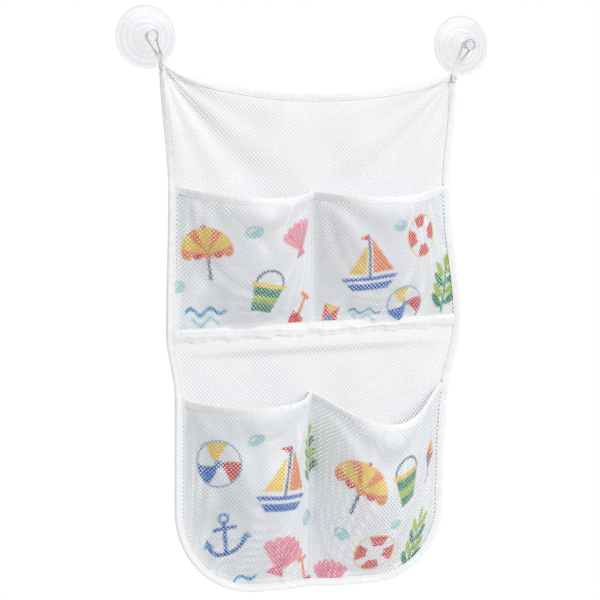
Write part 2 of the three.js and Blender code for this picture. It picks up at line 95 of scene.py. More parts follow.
def plug(tree, node, sockets):
    """Gives each socket of a node its link or its value."""
    for socket, value in sockets.items():
        if isinstance(value, bpy.types.NodeSocket):
            tree.links.new(value, node.inputs[socket])
        else:
            node.inputs[socket].default_value = value


def add(tree, kind, sockets=None, **settings):
    """Adds a node: its settings first, then its sockets."""
    node = tree.nodes.new(kind)
    for setting, value in settings.items():
        setattr(node, setting, value)
    plug(tree, node, sockets or {})
    return node


def between(tree, factor, low, high, start=0.0, end=1.0):
    """Goes from low to high while the factor goes from start to end."""
    return add(tree, "ShaderNodeMapRange", {
        "Value": factor, "From Min": start, "From Max": end, "To Min": low, "To Max": high}).outputs["Result"]


def math_node(tree, operation, *values):
    return add(tree, "ShaderNodeMath", dict(enumerate(values)), operation=operation).outputs[0]


scene.world = bpy.data.worlds.new("white_room")
scene.world.use_nodes = True
room = scene.world.node_tree
direction = add(room, "ShaderNodeSeparateXYZ", {0: add(room, "ShaderNodeTexCoord").outputs["Generated"]})
sweep = between(room, direction.outputs["Y"], ROOM_LIGHT, SWEEP_LIGHT, SWEEP_START, SWEEP_END)
ground = between(room, direction.outputs["Z"], GROUND_SHARE, 1.0, -1.0, 0.0)
seen = add(room, "ShaderNodeMix", {
    "Factor": add(room, "ShaderNodeLightPath").outputs["Is Camera Ray"],
    "A": math_node(room, "MULTIPLY", sweep, ground), "B": 1.0})
plug(room, room.nodes["Background"], {"Color": (1, 1, 1, 1), "Strength": seen.outputs["Result"]})


def shader(name):
    """A new material, its node tree and its surface shader."""
    material = bpy.data.materials.new(name)
    material.use_nodes = True
    tree = material.node_tree
    return material, tree, tree.nodes["Principled BSDF"]


def object_place(tree):
    return add(tree, "ShaderNodeTexCoord").outputs["Object"]


def noise(tree, scale, detail, roughness=0.5):
    return add(tree, "ShaderNodeTexNoise", {
        "Vector": object_place(tree), "Scale": scale, "Detail": detail,
        "Roughness": roughness}).outputs["Fac"]


def mixed(tree, factor, first, second, **settings):
    """Mixes two colours by a factor."""
    return add(tree, "ShaderNodeMix", {
        "Factor": factor, "A": first, "B": second}, data_type="RGBA", **settings).outputs["Result"]


def tone(tree, factor, dark, light):
    return mixed(tree, factor, (*dark, 1), (*light, 1))


floor_mesh = bpy.data.meshes.new("floor")
floor_form = bmesh.new()
bmesh.ops.create_circle(floor_form, cap_ends=True, radius=FLOOR_RADIUS, segments=FLOOR_SEGMENTS)
bmesh.ops.translate(floor_form, vec=(0, 0, FLOOR_Z), verts=floor_form.verts)
floor_form.to_mesh(floor_mesh)
floor_paint, tree, surface = shader("floor_paint")
floor_tone = tone(tree, noise(tree, 30.0, 4.0), (0.80, 0.80, 0.80), (0.86, 0.86, 0.86))
plug(tree, surface, {"Base Color": floor_tone, "Roughness": 0.9})
floor_mesh.materials.append(floor_paint)
floor = bpy.data.objects.new("floor", floor_mesh)
scene.collection.objects.link(floor)

# Back panel: one piece of white warp-knit polyester net with round holes, cut with a round bottom. It hangs
# free in front of the wall from its two top corners, where soft folds fan out, and its top edge sags.
panel_low, panel_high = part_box("back_panel")
upper_low, upper_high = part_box("upper_pocket_cloth")
lower_low, lower_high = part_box("lower_pocket_cloth")
TOP_Z, BOTTOM_Z = panel_high.z, panel_low.z
UPPER_CLIMBS, LOWER_CLIMBS = (0.004, 0.004), (-0.0015, 0.003)
UPPER_MOUTH_Z, UPPER_FOOT_Z = upper_high.z - max(UPPER_CLIMBS), upper_low.z
LOWER_MOUTH_Z = lower_high.z - max(LOWER_CLIMBS)
TOP_HALF_WIDTH = -panel_low.x
BOTTOM_HALF_WIDTH = -lower_low.x
LEFT_RADIUS, RIGHT_RADIUS = 0.072, 0.064
SIDE_KNOTS = [
    (TOP_Z, TOP_HALF_WIDTH),
    (UPPER_MOUTH_Z, 0.1285),
    (UPPER_FOOT_Z, -upper_low.x),
    (LOWER_MOUTH_Z, BOTTOM_HALF_WIDTH),
    (BOTTOM_Z + LEFT_RADIUS, BOTTOM_HALF_WIDTH),
]
RIGHT_SWELL, LOWER_RIGHT_SWELL, RIGHT_SWELL_REACH = 0.012, 0.004, 0.075
TOP_SAG = 0.019
CORNER_PEAKS, PEAK_REACH = (0.006, 0.0012), 0.009
NOTCH_RISE, NOTCH_REACH = 0.0015, 0.018
HANG_TOP, HANG_BOTTOM = -0.00825, -0.0028
CORNER_FOLDS = dict(depth=0.0019, reach=0.055, count=3), dict(depth=0.0012, reach=0.045, count=7)
BUCKLE_Z, BUCKLE_SLOPE, BUCKLE_DEPTH = -0.2575, 0.025, 0.0040
BUCKLE_BELOW, BUCKLE_ABOVE = 0.0045, 0.014
RIPPLE_DEPTH, RIPPLES = 0.0006, ((95, 30, 0), (41, -70, 1))
NET_PITCH, NET_WELD = 0.00255, 0.00005
PANEL_HOLE_SHARE = 0.735
NET_YARN, NET_YARN_DEPTH = 0.0006, 0.0002
PANEL_COLUMNS, PANEL_ROWS = 141, 221


def eased(value, low, high):
    """0 below low, 1 above high, and a smooth climb between."""
    share = np.clip((value - low)/(high - low), 0, 1)
    return share*share*(3 - 2*share)


def half_width(z, side):
    """From the middle of the bag to its cut edge at height z, on the left (side below 0) or the right."""
    width = np.full(np.shape(z), TOP_HALF_WIDTH)
    for (high, upper), (low, lower) in zip(SIDE_KNOTS, SIDE_KNOTS[1:]):
        width = np.where(z < high, lower + (upper - lower)*eased(z, low, high), width)
    kept = np.where(z < UPPER_FOOT_Z, LOWER_RIGHT_SWELL, 0)
    swell = kept + (RIGHT_SWELL - kept)*np.exp(-((z - UPPER_FOOT_Z)/RIGHT_SWELL_REACH)**2)
    return width + np.where(np.asarray(side) > 0, swell, 0)


def top_edge(share):
    """Height of the sagging top edge, which the loops pull up to a peak at each corner."""
    from_corner = np.maximum(0, 1 - np.abs(share))*TOP_HALF_WIDTH
    peak = np.where(np.asarray(share) < 0, *CORNER_PEAKS)*np.exp(-from_corner/PEAK_REACH)
    return TOP_Z - TOP_SAG*(1 - share**2) + peak


def bottom_edge(x, inset=0.0):
    """Height of the round bottom at x, or of a line that runs at an inset above it."""
    edge_radius = np.where(np.asarray(x) < 0, LEFT_RADIUS, RIGHT_RADIUS)
    radius = edge_radius - inset
    past = np.maximum(0, np.abs(x) - (BOTTOM_HALF_WIDTH - edge_radius))
    corner = radius - np.sqrt(np.maximum(0, radius**2 - past**2))
    return BOTTOM_Z + inset + corner + NOTCH_RISE*np.exp(-(x/NOTCH_REACH)**2)


def fan_folds(from_side, from_top, depth, reach, count):
    """Folds that fan out from a corner where cloth is held, as a height over the cloth."""
    distance = np.hypot(from_side, from_top)/reach
    turn = np.arctan2(np.maximum(0, from_top), np.maximum(0, from_side))/(math.pi/2)
    return depth*distance*np.exp(1 - distance)*np.sin(count*math.pi*turn)


def drape(x, z):
    """Where the hanging panel lies, along y."""
    hang = HANG_TOP + (HANG_BOTTOM - HANG_TOP)*eased(-z, -TOP_Z, -BOTTOM_Z)
    below_top = top_edge(x/TOP_HALF_WIDTH) - z
    folds = 0
    for from_side in (half_width(z, -1) + x, half_width(z, 1) - x):
        for fold in CORNER_FOLDS:
            folds = folds + fan_folds(from_side, below_top, **fold)
    across = np.clip(1 - (x/half_width(z, x))**2, 0, 1)
    from_crease = z - BUCKLE_Z - BUCKLE_SLOPE*x
    fall = np.where(from_crease < 0, BUCKLE_BELOW, BUCKLE_ABOVE)
    buckle = BUCKLE_DEPTH*np.exp(-(from_crease/fall)**2)*across
    ripple = RIPPLE_DEPTH*sum(np.sin(aside*x + down*z + start) for aside, down, start in RIPPLES)*across
    return hang - folds - buckle - ripple


def piece(name, mesh, material=None):
    """An object for a mesh, at the origin."""
    thing = bpy.data.objects.new(name, mesh)
    scene.collection.objects.link(thing)
    if material:
        mesh.materials.append(material)
    return thing


def cloth_surface(name, points, flat):
    """Open surface through a grid of points, which keeps its flat layout as an attribute."""
    columns, rows = points.shape[:2]
    index = np.arange(columns*rows).reshape(columns, rows)
    quads = np.stack([index[:-1, :-1], index[1:, :-1], index[1:, 1:], index[:-1, 1:]], -1)
    mesh = bpy.data.meshes.new(name)
    mesh.from_pydata(points.reshape(-1, 3).tolist(), [], quads.reshape(-1, 4).tolist())
    layout = mesh.attributes.new("flat", "FLOAT_VECTOR", "POINT")
    layout.data.foreach_set("vector", np.dstack([flat, np.zeros((columns, rows))]).ravel())
    return piece(name, mesh)


def modifier_tree(name, inputs):
    """A node tree for a modifier with named inputs, with its input and output nodes."""
    tree = bpy.data.node_groups.new(name, "GeometryNodeTree")
    tree.interface.new_socket("Base", in_out="INPUT", socket_type="NodeSocketGeometry")
    for label, kind in inputs.items():
        tree.interface.new_socket(label, in_out="INPUT", socket_type=f"NodeSocket{kind}")
    tree.interface.new_socket("Result", in_out="OUTPUT", socket_type="NodeSocketGeometry")
    return tree, tree.nodes.new("NodeGroupInput").outputs, tree.nodes.new("NodeGroupOutput").inputs


def grow(name, base, tree, values):
    """Runs a node tree on a base piece and keeps the result as a plain mesh in the base's place."""
    modifier = base.modifiers.new(tree.name, "NODES")
    modifier.node_group = tree
    for socket in tree.interface.items_tree:
        if socket.in_out == "INPUT" and socket.name in values:
            modifier[socket.identifier] = values[socket.name]
    graph = bpy.context.evaluated_depsgraph_get()
    mesh = bpy.data.meshes.new_from_object(
        base.evaluated_get(graph), preserve_all_data_layers=True, depsgraph=graph)
    base.modifiers.remove(modifier)
    bpy.data.objects.remove(base)
    mesh.name = name
    return piece(name, mesh)


def flow(tree, kind, sockets=None, **settings):
    """Adds a node to a modifier's tree and gives its first output."""
    return add(tree, f"GeometryNode{kind}", sockets, **settings).outputs[0]


def end_tree(tree, geometry, material, result):
    """Ends a modifier's tree: what it made is real, smooth and in its material."""
    real = flow(tree, "RealizeInstances", {"Geometry": geometry})
    smooth = flow(tree, "SetShadeSmooth", {"Geometry": real})
    tree.links.new(flow(tree, "SetMaterial", {"Geometry": smooth, "Material": material}), result["Result"])


net_tree, given, result = modifier_tree("knitted_net", {
    "Width": "Float", "Height": "Float", "Centre": "Vector", "Pitch": "Float", "Hole Share": "Float",
    "Cloth": "Material"})
# A grid of squares is poked at their middles, so that its dual has an octagon at each corner of the grid.
# Every other octagon shrinks a little and is taken out as a hole. The flat net is then laid on its base by
# the base's flat layout, and what falls beside the base is trimmed off.
step = math_node(net_tree, "DIVIDE", given["Pitch"], math.sqrt(2))
grid_sockets = {}
for axis, length in (("X", given["Width"]), ("Y", given["Height"])):
    half_steps = math_node(net_tree, "CEIL", math_node(net_tree, "DIVIDE", math_node(
        net_tree, "DIVIDE", length, 2.0), step))
    steps = math_node(net_tree, "MULTIPLY_ADD", half_steps, 2.0, 2.0)
    grid_sockets[f"Size {axis}"] = math_node(net_tree, "MULTIPLY", steps, step)
    grid_sockets[f"Vertices {axis}"] = math_node(net_tree, "ADD", steps, 1.0)
net_grid = flow(net_tree, "MeshGrid", grid_sockets)
poked = add(net_tree, "GeometryNodeExtrudeMesh", {
    "Mesh": net_grid, "Offset Scale": 0.0, "Individual": True})
peaked = flow(net_tree, "ScaleElements", {
    "Geometry": poked.outputs["Mesh"], "Selection": poked.outputs["Top"], "Scale": 0.0})
merged = flow(net_tree, "MergeByDistance", {"Geometry": peaked, "Distance": NET_WELD})
octagons = flow(net_tree, "DualMesh", {"Mesh": merged})
spot = flow(net_tree, "InputPosition")
spot_axes = add(net_tree, "ShaderNodeSeparateXYZ", {0: spot}).outputs
place_count = [math_node(net_tree, "ROUND", math_node(net_tree, "DIVIDE", spot_axes[axis], step))
               for axis in ("X", "Y")]
every_other = math_node(net_tree, "FLOORED_MODULO", math_node(net_tree, "ADD", *place_count), 2.0)
corners = add(net_tree, "GeometryNodeInputMeshFaceNeighbors").outputs["Vertex Count"]
is_octagon = math_node(net_tree, "GREATER_THAN", corners, 6.0)
is_hole = math_node(net_tree, "MULTIPLY", every_other, is_octagon)
opened = flow(net_tree, "ScaleElements", {
    "Geometry": octagons, "Selection": is_hole, "Scale": given["Hole Share"]})
pierced = flow(net_tree, "DeleteGeometry", {"Geometry": opened, "Selection": is_hole}, domain="FACE")
longest = math_node(net_tree, "MAXIMUM", given["Width"], given["Height"])
chart_size = add(net_tree, "ShaderNodeCombineXYZ", {"X": longest, "Y": longest, "Z": 1.0}).outputs[0]
chart_share = add(net_tree, "ShaderNodeVectorMath", {0: spot, 1: chart_size}, operation="DIVIDE").outputs[0]
chart = add(net_tree, "ShaderNodeVectorMath", {0: chart_share, 1: (0.5, 0.5, 0.0)}).outputs[0]
charted = flow(net_tree, "StoreNamedAttribute", {
    "Geometry": pierced, "Name": "OFBake", "Value": chart}, data_type="FLOAT2", domain="CORNER")
flat_place = add(net_tree, "ShaderNodeVectorMath", {0: spot, 1: given["Centre"]}).outputs[0]
laid_out = flow(net_tree, "StoreNamedAttribute", {
    "Geometry": charted, "Name": "flat", "Value": flat_place}, data_type="FLOAT_VECTOR", domain="POINT")
kept_layout = add(net_tree, "GeometryNodeInputNamedAttribute", {"Name": "flat"}, data_type="FLOAT_VECTOR")
landed = add(net_tree, "GeometryNodeSampleUVSurface", {
    "Mesh": given["Base"], "Value": spot, "UV Map": kept_layout.outputs["Attribute"],
    "Sample UV": flat_place}, data_type="FLOAT_VECTOR")
off_cloth = add(net_tree, "FunctionNodeBooleanMath", {0: landed.outputs["Is Valid"]}, operation="NOT")
trimmed = flow(net_tree, "DeleteGeometry", {
    "Geometry": laid_out, "Selection": off_cloth.outputs[0]}, domain="POINT")
placed = flow(net_tree, "SetPosition", {"Geometry": trimmed, "Position": landed.outputs["Value"]})
end_tree(net_tree, placed, given["Cloth"], result)


def knitted(name, points, flat, hole_share, material):
    """Net on a cloth surface: its base is the grid of points, its holes follow the flat layout."""
    low, high = flat.min(axis=(0, 1)), flat.max(axis=(0, 1))
    return grow(name, cloth_surface(name + "_base", points, flat), net_tree, {
        "Width": float(high[0] - low[0]), "Height": float(high[1] - low[1]),
        "Centre": (*((low + high)/2).tolist(), 0.0), "Pitch": NET_PITCH, "Hole Share": hole_share,
        "Cloth": material})


def bumped(tree, height, strength, depth):
    return add(tree, "ShaderNodeBump", {
        "Height": height, "Strength": strength, "Distance": depth}).outputs["Normal"]


def yarn_finish(tree, surface, yarn_size, depth, colour):
    """Matt knitted yarn: a fine bump at the size of the yarn, and a soft sheen."""
    yarn = noise(tree, 1/yarn_size, 2.0, 0.6)
    plug(tree, surface, {
        "Base Color": colour, "Roughness": between(tree, yarn, 0.68, 0.9), "Sheen Weight": 0.15,
        "Specular IOR Level": 0.3, "Normal": bumped(tree, yarn, 0.5, depth)})


white_net, tree, surface = shader("white_net")
net_tone = tone(tree, noise(tree, 45.0, 3.0), (0.825, 0.84, 0.87), (0.915, 0.925, 0.94))
yarn_finish(tree, surface, NET_YARN, NET_YARN_DEPTH, net_tone)

share = np.linspace(-1, 1, PANEL_COLUMNS)[:, None]
height = np.linspace(0, 1, PANEL_ROWS)[None, :]
foot_line = bottom_edge(share*BOTTOM_HALF_WIDTH)
panel_z = foot_line + (top_edge(share) - foot_line)*height
panel_x = share*half_width(panel_z, share)
panel_points = np.dstack([panel_x, drape(panel_x, panel_z), panel_z])
panel_flat = np.dstack([panel_x, panel_z])
back_net = knitted("back_net", panel_points, panel_flat, PANEL_HOLE_SHARE, white_net)
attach(back_net, "bag")
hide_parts("back_panel")

# Pocket strips: two strips of the same net, printed with a seaside design, each sewn down at its sides, its
# foot and its middle, so that it stands off the panel in two full pockets with sagging mouths.
CLOTH_LAYER = 0.0011
FLANGE = 0.008
FLANGE_INSETS = np.array([0.0, 0.003, 0.0061])
SEAM_WIDTH = 0.003
HEM = 0.007
FOOT_RISE, FOOT_SLOPE = 0.0016, 0.030
MOUTH_ROOM, ROOM_START, ROOM_FULL = 0.0009, 0.028, 0.014
BOTTOM_SHELF = 0.002
CROWN_POWER, CLIMB_POWER, OUTER_EASE = 2.4, 2.2, 1.3
POCKET_COLUMNS, POCKET_ROWS, POCKET_HOLE_SHARE = 80, 70, 0.785
DENT_ACROSS, DENT_UP = 0.32, 0.5
MOUTH_FOLDS = dict(depth=0.0022, reach=0.040, count=4)
GATHER_DEPTH, GATHER_REACH, GATHERS, GATHER_START, GATHER_EASE = 0.0012, 0.016, 7, 0.3, 0.1
INK_EDGE, MOTIF_REACH = 0.0007, 1.2


def foot_edge(x):
    """Height of the upper strip's foot, which is sewn on a little higher on the right."""
    return UPPER_FOOT_Z + FOOT_RISE + FOOT_SLOPE*x


def strip_points(mouth_z, foot_half, foot, shelf, bulge, draw_in, dips, leans, climbs, dent):
    """Points of a pocket strip, from its left edge to its right and from its foot up to its mouth."""
    inset = np.concatenate([FLANGE_INSETS, np.full(POCKET_COLUMNS, FLANGE)])
    across = np.concatenate([np.zeros(len(FLANGE_INSETS)), np.linspace(0, 1, POCKET_COLUMNS)])
    side = np.repeat([-1, 1], len(inset))[:, None]
    inset = np.concatenate([inset, inset[::-1]])[:, None]
    across = np.concatenate([across, across[::-1]])[:, None]

    def column_x(half):
        return side*(half - inset - across*(half - FLANGE - SEAM_WIDTH/2))

    foot_x = column_x(foot_half(side))
    up = np.linspace(0, 1, POCKET_ROWS)[None, :]
    lip = mouth_z + np.where(side < 0, *climbs)*(1 - across)**2
    lip = lip - np.where(side < 0, *dips)*(1 - (2*across**np.where(side < 0, *leans) - 1)**2)
    start = shelf(foot_x)
    z = np.hstack([foot(foot_x), start + (lip - start)*up])
    up = np.hstack([np.zeros((1, 1)), up])
    x = column_x(half_width(z, side))
    crown = 1 - np.abs(2*across**OUTER_EASE - 1)**CROWN_POWER
    climb = 1 - (1 - up)**CLIMB_POWER
    stand = (bulge - draw_in*up**2)*crown*climb
    stand = stand*(1 - np.where(side < 0, *dent)*np.exp(-(across/DENT_ACROSS)**2 - (up/DENT_UP)**2))
    width = half_width(z, side) - FLANGE
    below_mouth = np.maximum(0, lip - z)
    folds = sum(fan_folds(from_seam, below_mouth, **MOUTH_FOLDS)
                for from_seam in (across*width, (1 - across)*width))
    gathers = GATHER_DEPTH*np.sin(2*math.pi*(GATHERS*across + GATHER_START*side))
    gathers = gathers*np.exp(-(z - start)/GATHER_REACH)
    room = MOUTH_ROOM*eased(z, lip - ROOM_START, lip - ROOM_FULL)*(inset > FLANGE_INSETS[1])
    stand = np.maximum(0, stand + (folds + gathers*eased(up, 0, GATHER_EASE))*crown) + room
    return np.dstack([x, drape(x, z) - CLOTH_LAYER - stand, z])


def strip_layout(points):
    """Lays a strip out flat: its rows' mean width across, and its length down each column from the mouth."""
    across = np.linalg.norm(np.diff(points, axis=0), axis=2).mean(axis=1)
    u = np.concatenate([[0], np.cumsum(across)])
    down = np.linalg.norm(np.diff(points, axis=1), axis=2)
    v = -np.hstack([np.cumsum(down[:, ::-1], axis=1)[:, ::-1], np.zeros((len(points), 1))])
    return np.dstack([np.broadcast_to((u - u[-1]/2)[:, None], v.shape), v])


def ink(red, green, blue):
    """Print colour, from the 0 to 255 of a colour chart to linear light."""
    share = np.array([red, green, blue])/255
    return np.where(share <= 0.04045, share/12.92, ((share + 0.055)/1.055)**2.4)


COBALT, SKY, AQUA = ink(36, 104, 196), ink(62, 160, 205), ink(168, 218, 222)
GREEN, LIME, YELLOW = ink(24, 140, 98), ink(172, 196, 58), ink(246, 204, 66)
ORANGE, RED, PINK, ROSE = ink(244, 134, 56), ink(222, 70, 62), ink(246, 150, 170), ink(226, 96, 128)
SLATE, WHITE = ink(70, 98, 130), ink(246, 248, 250)


def bar(p, q, start, end, radius):
    """Distance to a round-ended bar between two points."""
    ax, ay = start
    run_x, run_y = end[0] - ax, end[1] - ay
    share = np.clip(((p - ax)*run_x + (q - ay)*run_y)/(run_x**2 + run_y**2), 0, 1)
    return np.hypot(p - ax - share*run_x, q - ay - share*run_y) - radius


def outline(p, q, corners):
    """Distance to a straight-sided shape, negative inside it."""
    inside = np.zeros(p.shape, bool)
    distance = np.full(p.shape, np.inf)
    for (ax, ay), (bx, by) in zip(corners, corners[1:] + corners[:1]):
        distance = np.minimum(distance, bar(p, q, (ax, ay), (bx, by), 0))
        if ay != by:
            inside ^= ((ay > q) != (by > q)) & (p < (bx - ax)*(q - ay)/(by - ay) + ax)
    return np.where(inside, -distance, distance)


def oval(p, q, centre, radii, turn=0.0):
    """Rough distance to an oval that is turned by some radians."""
    p, q = p - centre[0], q - centre[1]
    along = p*math.cos(turn) + q*math.sin(turn)
    aside = q*math.cos(turn) - p*math.sin(turn)
    return (np.hypot(along/radii[0], aside/radii[1]) - 1)*min(radii)


def sector(p, q, middle, half, twist=0.0):
    """Rough distance to a wedge about the centre, its sides bent by a twist."""
    radius = np.hypot(p, q)
    turn = np.arctan2(q, p) + twist*radius - middle
    return (np.abs((turn + math.pi) % (2*math.pi) - math.pi) - half)*radius


def sailboat(p, q):
    yield outline(p, q, [(-0.85, -0.4), (0.95, -0.4), (0.6, -0.85), (-0.5, -0.85)]), COBALT
    yield outline(p, q, [(-0.76, -0.52), (0.86, -0.52), (0.78, -0.62), (-0.66, -0.62)]), WHITE
    yield bar(p, q, (0.02, -0.4), (0.02, 0.92), 0.045), SLATE
    yield outline(p, q, [(0.12, 0.86), (0.12, -0.27), (0.82, -0.27)]), ORANGE
    yield outline(p, q, [(-0.08, 0.68), (-0.08, -0.27), (-0.66, -0.27)]), YELLOW
    yield outline(p, q, [(0.02, 0.98), (-0.3, 0.88), (0.02, 0.78)]), RED


def beach_ball(p, q):
    edge = np.hypot(p, q) - 0.88
    yield edge, WHITE
    for count, colour in enumerate((RED, YELLOW, COBALT)):
        yield np.maximum(edge, sector(p, q, count*2*math.pi/3, math.pi/6, 0.5)), colour
    yield np.abs(edge + 0.02) - 0.03, SKY
    yield np.hypot(p, q) - 0.15, SKY


def scallop(p, q):
    fan = np.maximum(np.hypot(p, q + 0.75) - 1.5, sector(q + 0.75, p, 0, 0.85))
    fan = np.minimum(fan, np.min([np.hypot(p - 1.42*math.sin(turn), q + 0.75 - 1.42*math.cos(turn)) - 0.2
                                  for turn in np.linspace(-0.7, 0.7, 6)], axis=0))
    yield outline(p, q, [(-0.42, -0.9), (0.42, -0.9), (0.2, -0.5), (-0.2, -0.5)]), ROSE
    yield fan, PINK
    for turn in np.linspace(-0.56, 0.56, 5):
        yield bar(p, q, (0, -0.6), (1.4*math.sin(turn), 1.4*math.cos(turn) - 0.75), 0.035), ROSE


def anchor(p, q):
    yield np.abs(np.hypot(p, q - 0.74) - 0.17) - 0.06, SKY
    yield bar(p, q, (0, 0.55), (0, -0.7), 0.08), COBALT
    yield bar(p, q, (-0.4, 0.34), (0.4, 0.34), 0.07), COBALT
    yield np.maximum(np.abs(np.hypot(p, q + 0.02) - 0.74) - 0.09, q + 0.22), COBALT
    for side in (-1, 1):
        yield outline(p, q, [(side*0.98, -0.3), (side*0.5, -0.3), (side*0.78, 0.06)]), SKY


def lifebuoy(p, q):
    ring = np.abs(np.hypot(p, q) - 0.64) - 0.25
    yield ring, RED
    for count in range(4):
        yield np.maximum(ring, sector(p, q, (count + 0.5)*math.pi/2, 0.3)), WHITE
    yield np.abs(np.hypot(p, q) - 0.92) - 0.025, YELLOW


def parasol(p, q):
    canopy = np.maximum(np.hypot(p, q) - 0.9, -q)
    yield bar(p, q, (0, 0), (0, -0.92), 0.05), SLATE
    yield canopy, ORANGE
    for middle in (0.5, 1.5, 2.5):
        yield np.maximum(canopy, sector(p, q, middle*math.pi/3, math.pi/10)), YELLOW
    for count in range(5):
        yield np.maximum(np.hypot(p - 0.36*(count - 2), q + 0.02) - 0.18, q), (ORANGE, RED)[count % 2]
    yield np.hypot(p, q - 0.93) - 0.07, RED


def pail(p, q):
    body = outline(p, q, [(-0.62, 0.22), (0.62, 0.22), (0.42, -0.86), (-0.42, -0.86)])
    yield np.maximum(np.abs(np.hypot(p, q - 0.28) - 0.58) - 0.045, 0.28 - q), SLATE
    yield body, GREEN
    yield np.maximum(body, np.abs(q + 0.34) - 0.15), LIME
    yield bar(p, q, (-0.64, 0.26), (0.64, 0.26), 0.09), YELLOW


def spade(p, q):
    yield bar(p, q, (0, 0.85), (0, 0), 0.08), ORANGE
    yield bar(p, q, (-0.26, 0.88), (0.26, 0.88), 0.09), ORANGE
    yield outline(p, q, [(-0.36, 0.02), (0.36, 0.02), (0.36, -0.5), (0, -0.95), (-0.36, -0.5)]), RED


def kite(p, q):
    yield outline(p, q, [(0, 0.95), (0.56, 0.28), (0, -0.42), (-0.56, 0.28)]), RED
    yield outline(p, q, [(0, 0.95), (0.56, 0.28), (0, 0.28)]), YELLOW
    yield outline(p, q, [(0, -0.42), (0, 0.28), (-0.56, 0.28)]), SKY
    for start, end in (((0, -0.42), (0.14, -0.66)), ((0.14, -0.66), (-0.08, -0.92))):
        yield bar(p, q, start, end, 0.03), SLATE
        yield oval(p, q, end, (0.16, 0.07), 0.4), PINK


def sprig(p, q):
    yield bar(p, q, (0, -0.95), (0, 0.7), 0.045), GREEN
    for count in range(4):
        for side in (-1, 1):
            centre = (side*0.3, -0.52 + 0.36*count + 0.06*side)
            yield oval(p, q, centre, (0.32, 0.13), side*0.75), (GREEN, LIME)[count % 2]
    yield oval(p, q, (0, 0.82), (0.12, 0.24)), LIME


def pebble(p, q):
    yield oval(p, q, (0, 0), (0.9, 0.68)), AQUA
    yield oval(p, q, (-0.25, 0.22), (0.32, 0.13), 0.5), WHITE


def ripples(p, q):
    for count, colour in enumerate((SKY, AQUA)):
        crest = np.abs(q + 0.42*count - 0.14*np.sin(7*p)) - 0.085
        yield np.maximum(crest, np.abs(p) - 0.92 + 0.25*count), colour


def printed(flat, motifs):
    """Colours of the print at flat places. Each motif has its place and half size in millimetres, from the
    middle of the mouth, and its turn in degrees."""
    colours = np.tile(np.array([*WHITE, 1.0]), (len(flat), 1))
    for motif, *place, degrees in motifs:
        u, v, half = np.array(place)/1000
        turn = math.radians(degrees)
        along, up = flat[:, 0] - u, flat[:, 1] - v
        p = (along*math.cos(turn) + up*math.sin(turn))/half
        q = (up*math.cos(turn) - along*math.sin(turn))/half
        near = np.maximum(np.abs(p), np.abs(q)) < MOTIF_REACH
        for distance, colour in motif(p[near], q[near]):
            cover = np.clip(0.5 - distance*half/INK_EDGE, 0, 1)[:, None]
            colours[near, :3] = colours[near, :3]*(1 - cover) + colour*cover
    return colours


printed_net, tree, surface = shader("printed_net")
print_colour = add(tree, "ShaderNodeVertexColor", layer_name="print").outputs["Color"]
specks = between(tree, noise(tree, 900.0, 1.0), 0.0, 0.45, 0.52, 0.72)
dyed = mixed(tree, specks, print_colour, (*WHITE, 1))
net_tone = tone(tree, noise(tree, 45.0, 3.0), (0.86, 0.87, 0.895), (0.965, 0.97, 0.975))
toned = mixed(tree, 1.0, dyed, net_tone, blend_type="MULTIPLY")
yarn_finish(tree, surface, NET_YARN, NET_YARN_DEPTH, toned)

STRIPS = {
    "upper": dict(
        mouth_z=UPPER_MOUTH_Z, bulge=0.038, draw_in=0.0057, dips=(0.007, 0.006), leans=(1, 1),
        climbs=UPPER_CLIMBS, dent=(0.75, 0.15), foot_half=lambda side: half_width(UPPER_FOOT_Z, side),
        foot=foot_edge, shelf=lambda x: foot_edge(x) + HEM),
    "lower": dict(
        mouth_z=LOWER_MOUTH_Z, bulge=0.048, draw_in=0.0072, dips=(0.008, 0.028), leans=(0.75, 1),
        climbs=LOWER_CLIMBS, dent=(0.2, 0.2), foot_half=lambda side: BOTTOM_HALF_WIDTH,
        foot=bottom_edge, shelf=lambda x: bottom_edge(x, FLANGE) + BOTTOM_SHELF),
}
PRINTS = {
    "upper": [
        (parasol, -115, -50, 24, 14), (pail, -60, -82, 23, -8), (scallop, -30, -36, 18, 16),
        (pebble, -78, -30, 9, 12), (ripples, -112, -100, 21, 5), (spade, -20, -104, 21, -24),
        (pebble, -138, -82, 7, 40), (sailboat, 48, -60, 28, 6), (lifebuoy, 104, -36, 20, 10),
        (beach_ball, 88, -98, 20, 20), (sprig, 134, -84, 25, -14), (kite, 22, -110, 19, 30),
        (pebble, 76, -26, 8, 0), (ripples, 52, -106, 16, -4),
    ],
    "lower": [
        (beach_ball, -116, -48, 23, 0), (sailboat, -56, -66, 31, -6), (anchor, -104, -112, 23, 12),
        (scallop, -46, -138, 23, -15), (sprig, -14, -52, 26, 8), (pebble, -84, -28, 8, 20),
        (ripples, -88, -160, 22, 4), (pebble, -14, -106, 11, 0), (spade, -12, -160, 22, 20),
        (parasol, 42, -62, 27, -14), (pail, 90, -54, 24, 10), (kite, 138, -60, 18, -20),
        (lifebuoy, 66, -122, 22, 0), (sprig, 118, -122, 27, -22), (scallop, 24, -152, 20, 12),
        (pebble, 30, -108, 9, 0), (anchor, 92, -168, 20, -16), (pebble, 80, -92, 7, 0),
    ],
}
strip_grids, strip_flats, pocket_nets = {}, {}, {}
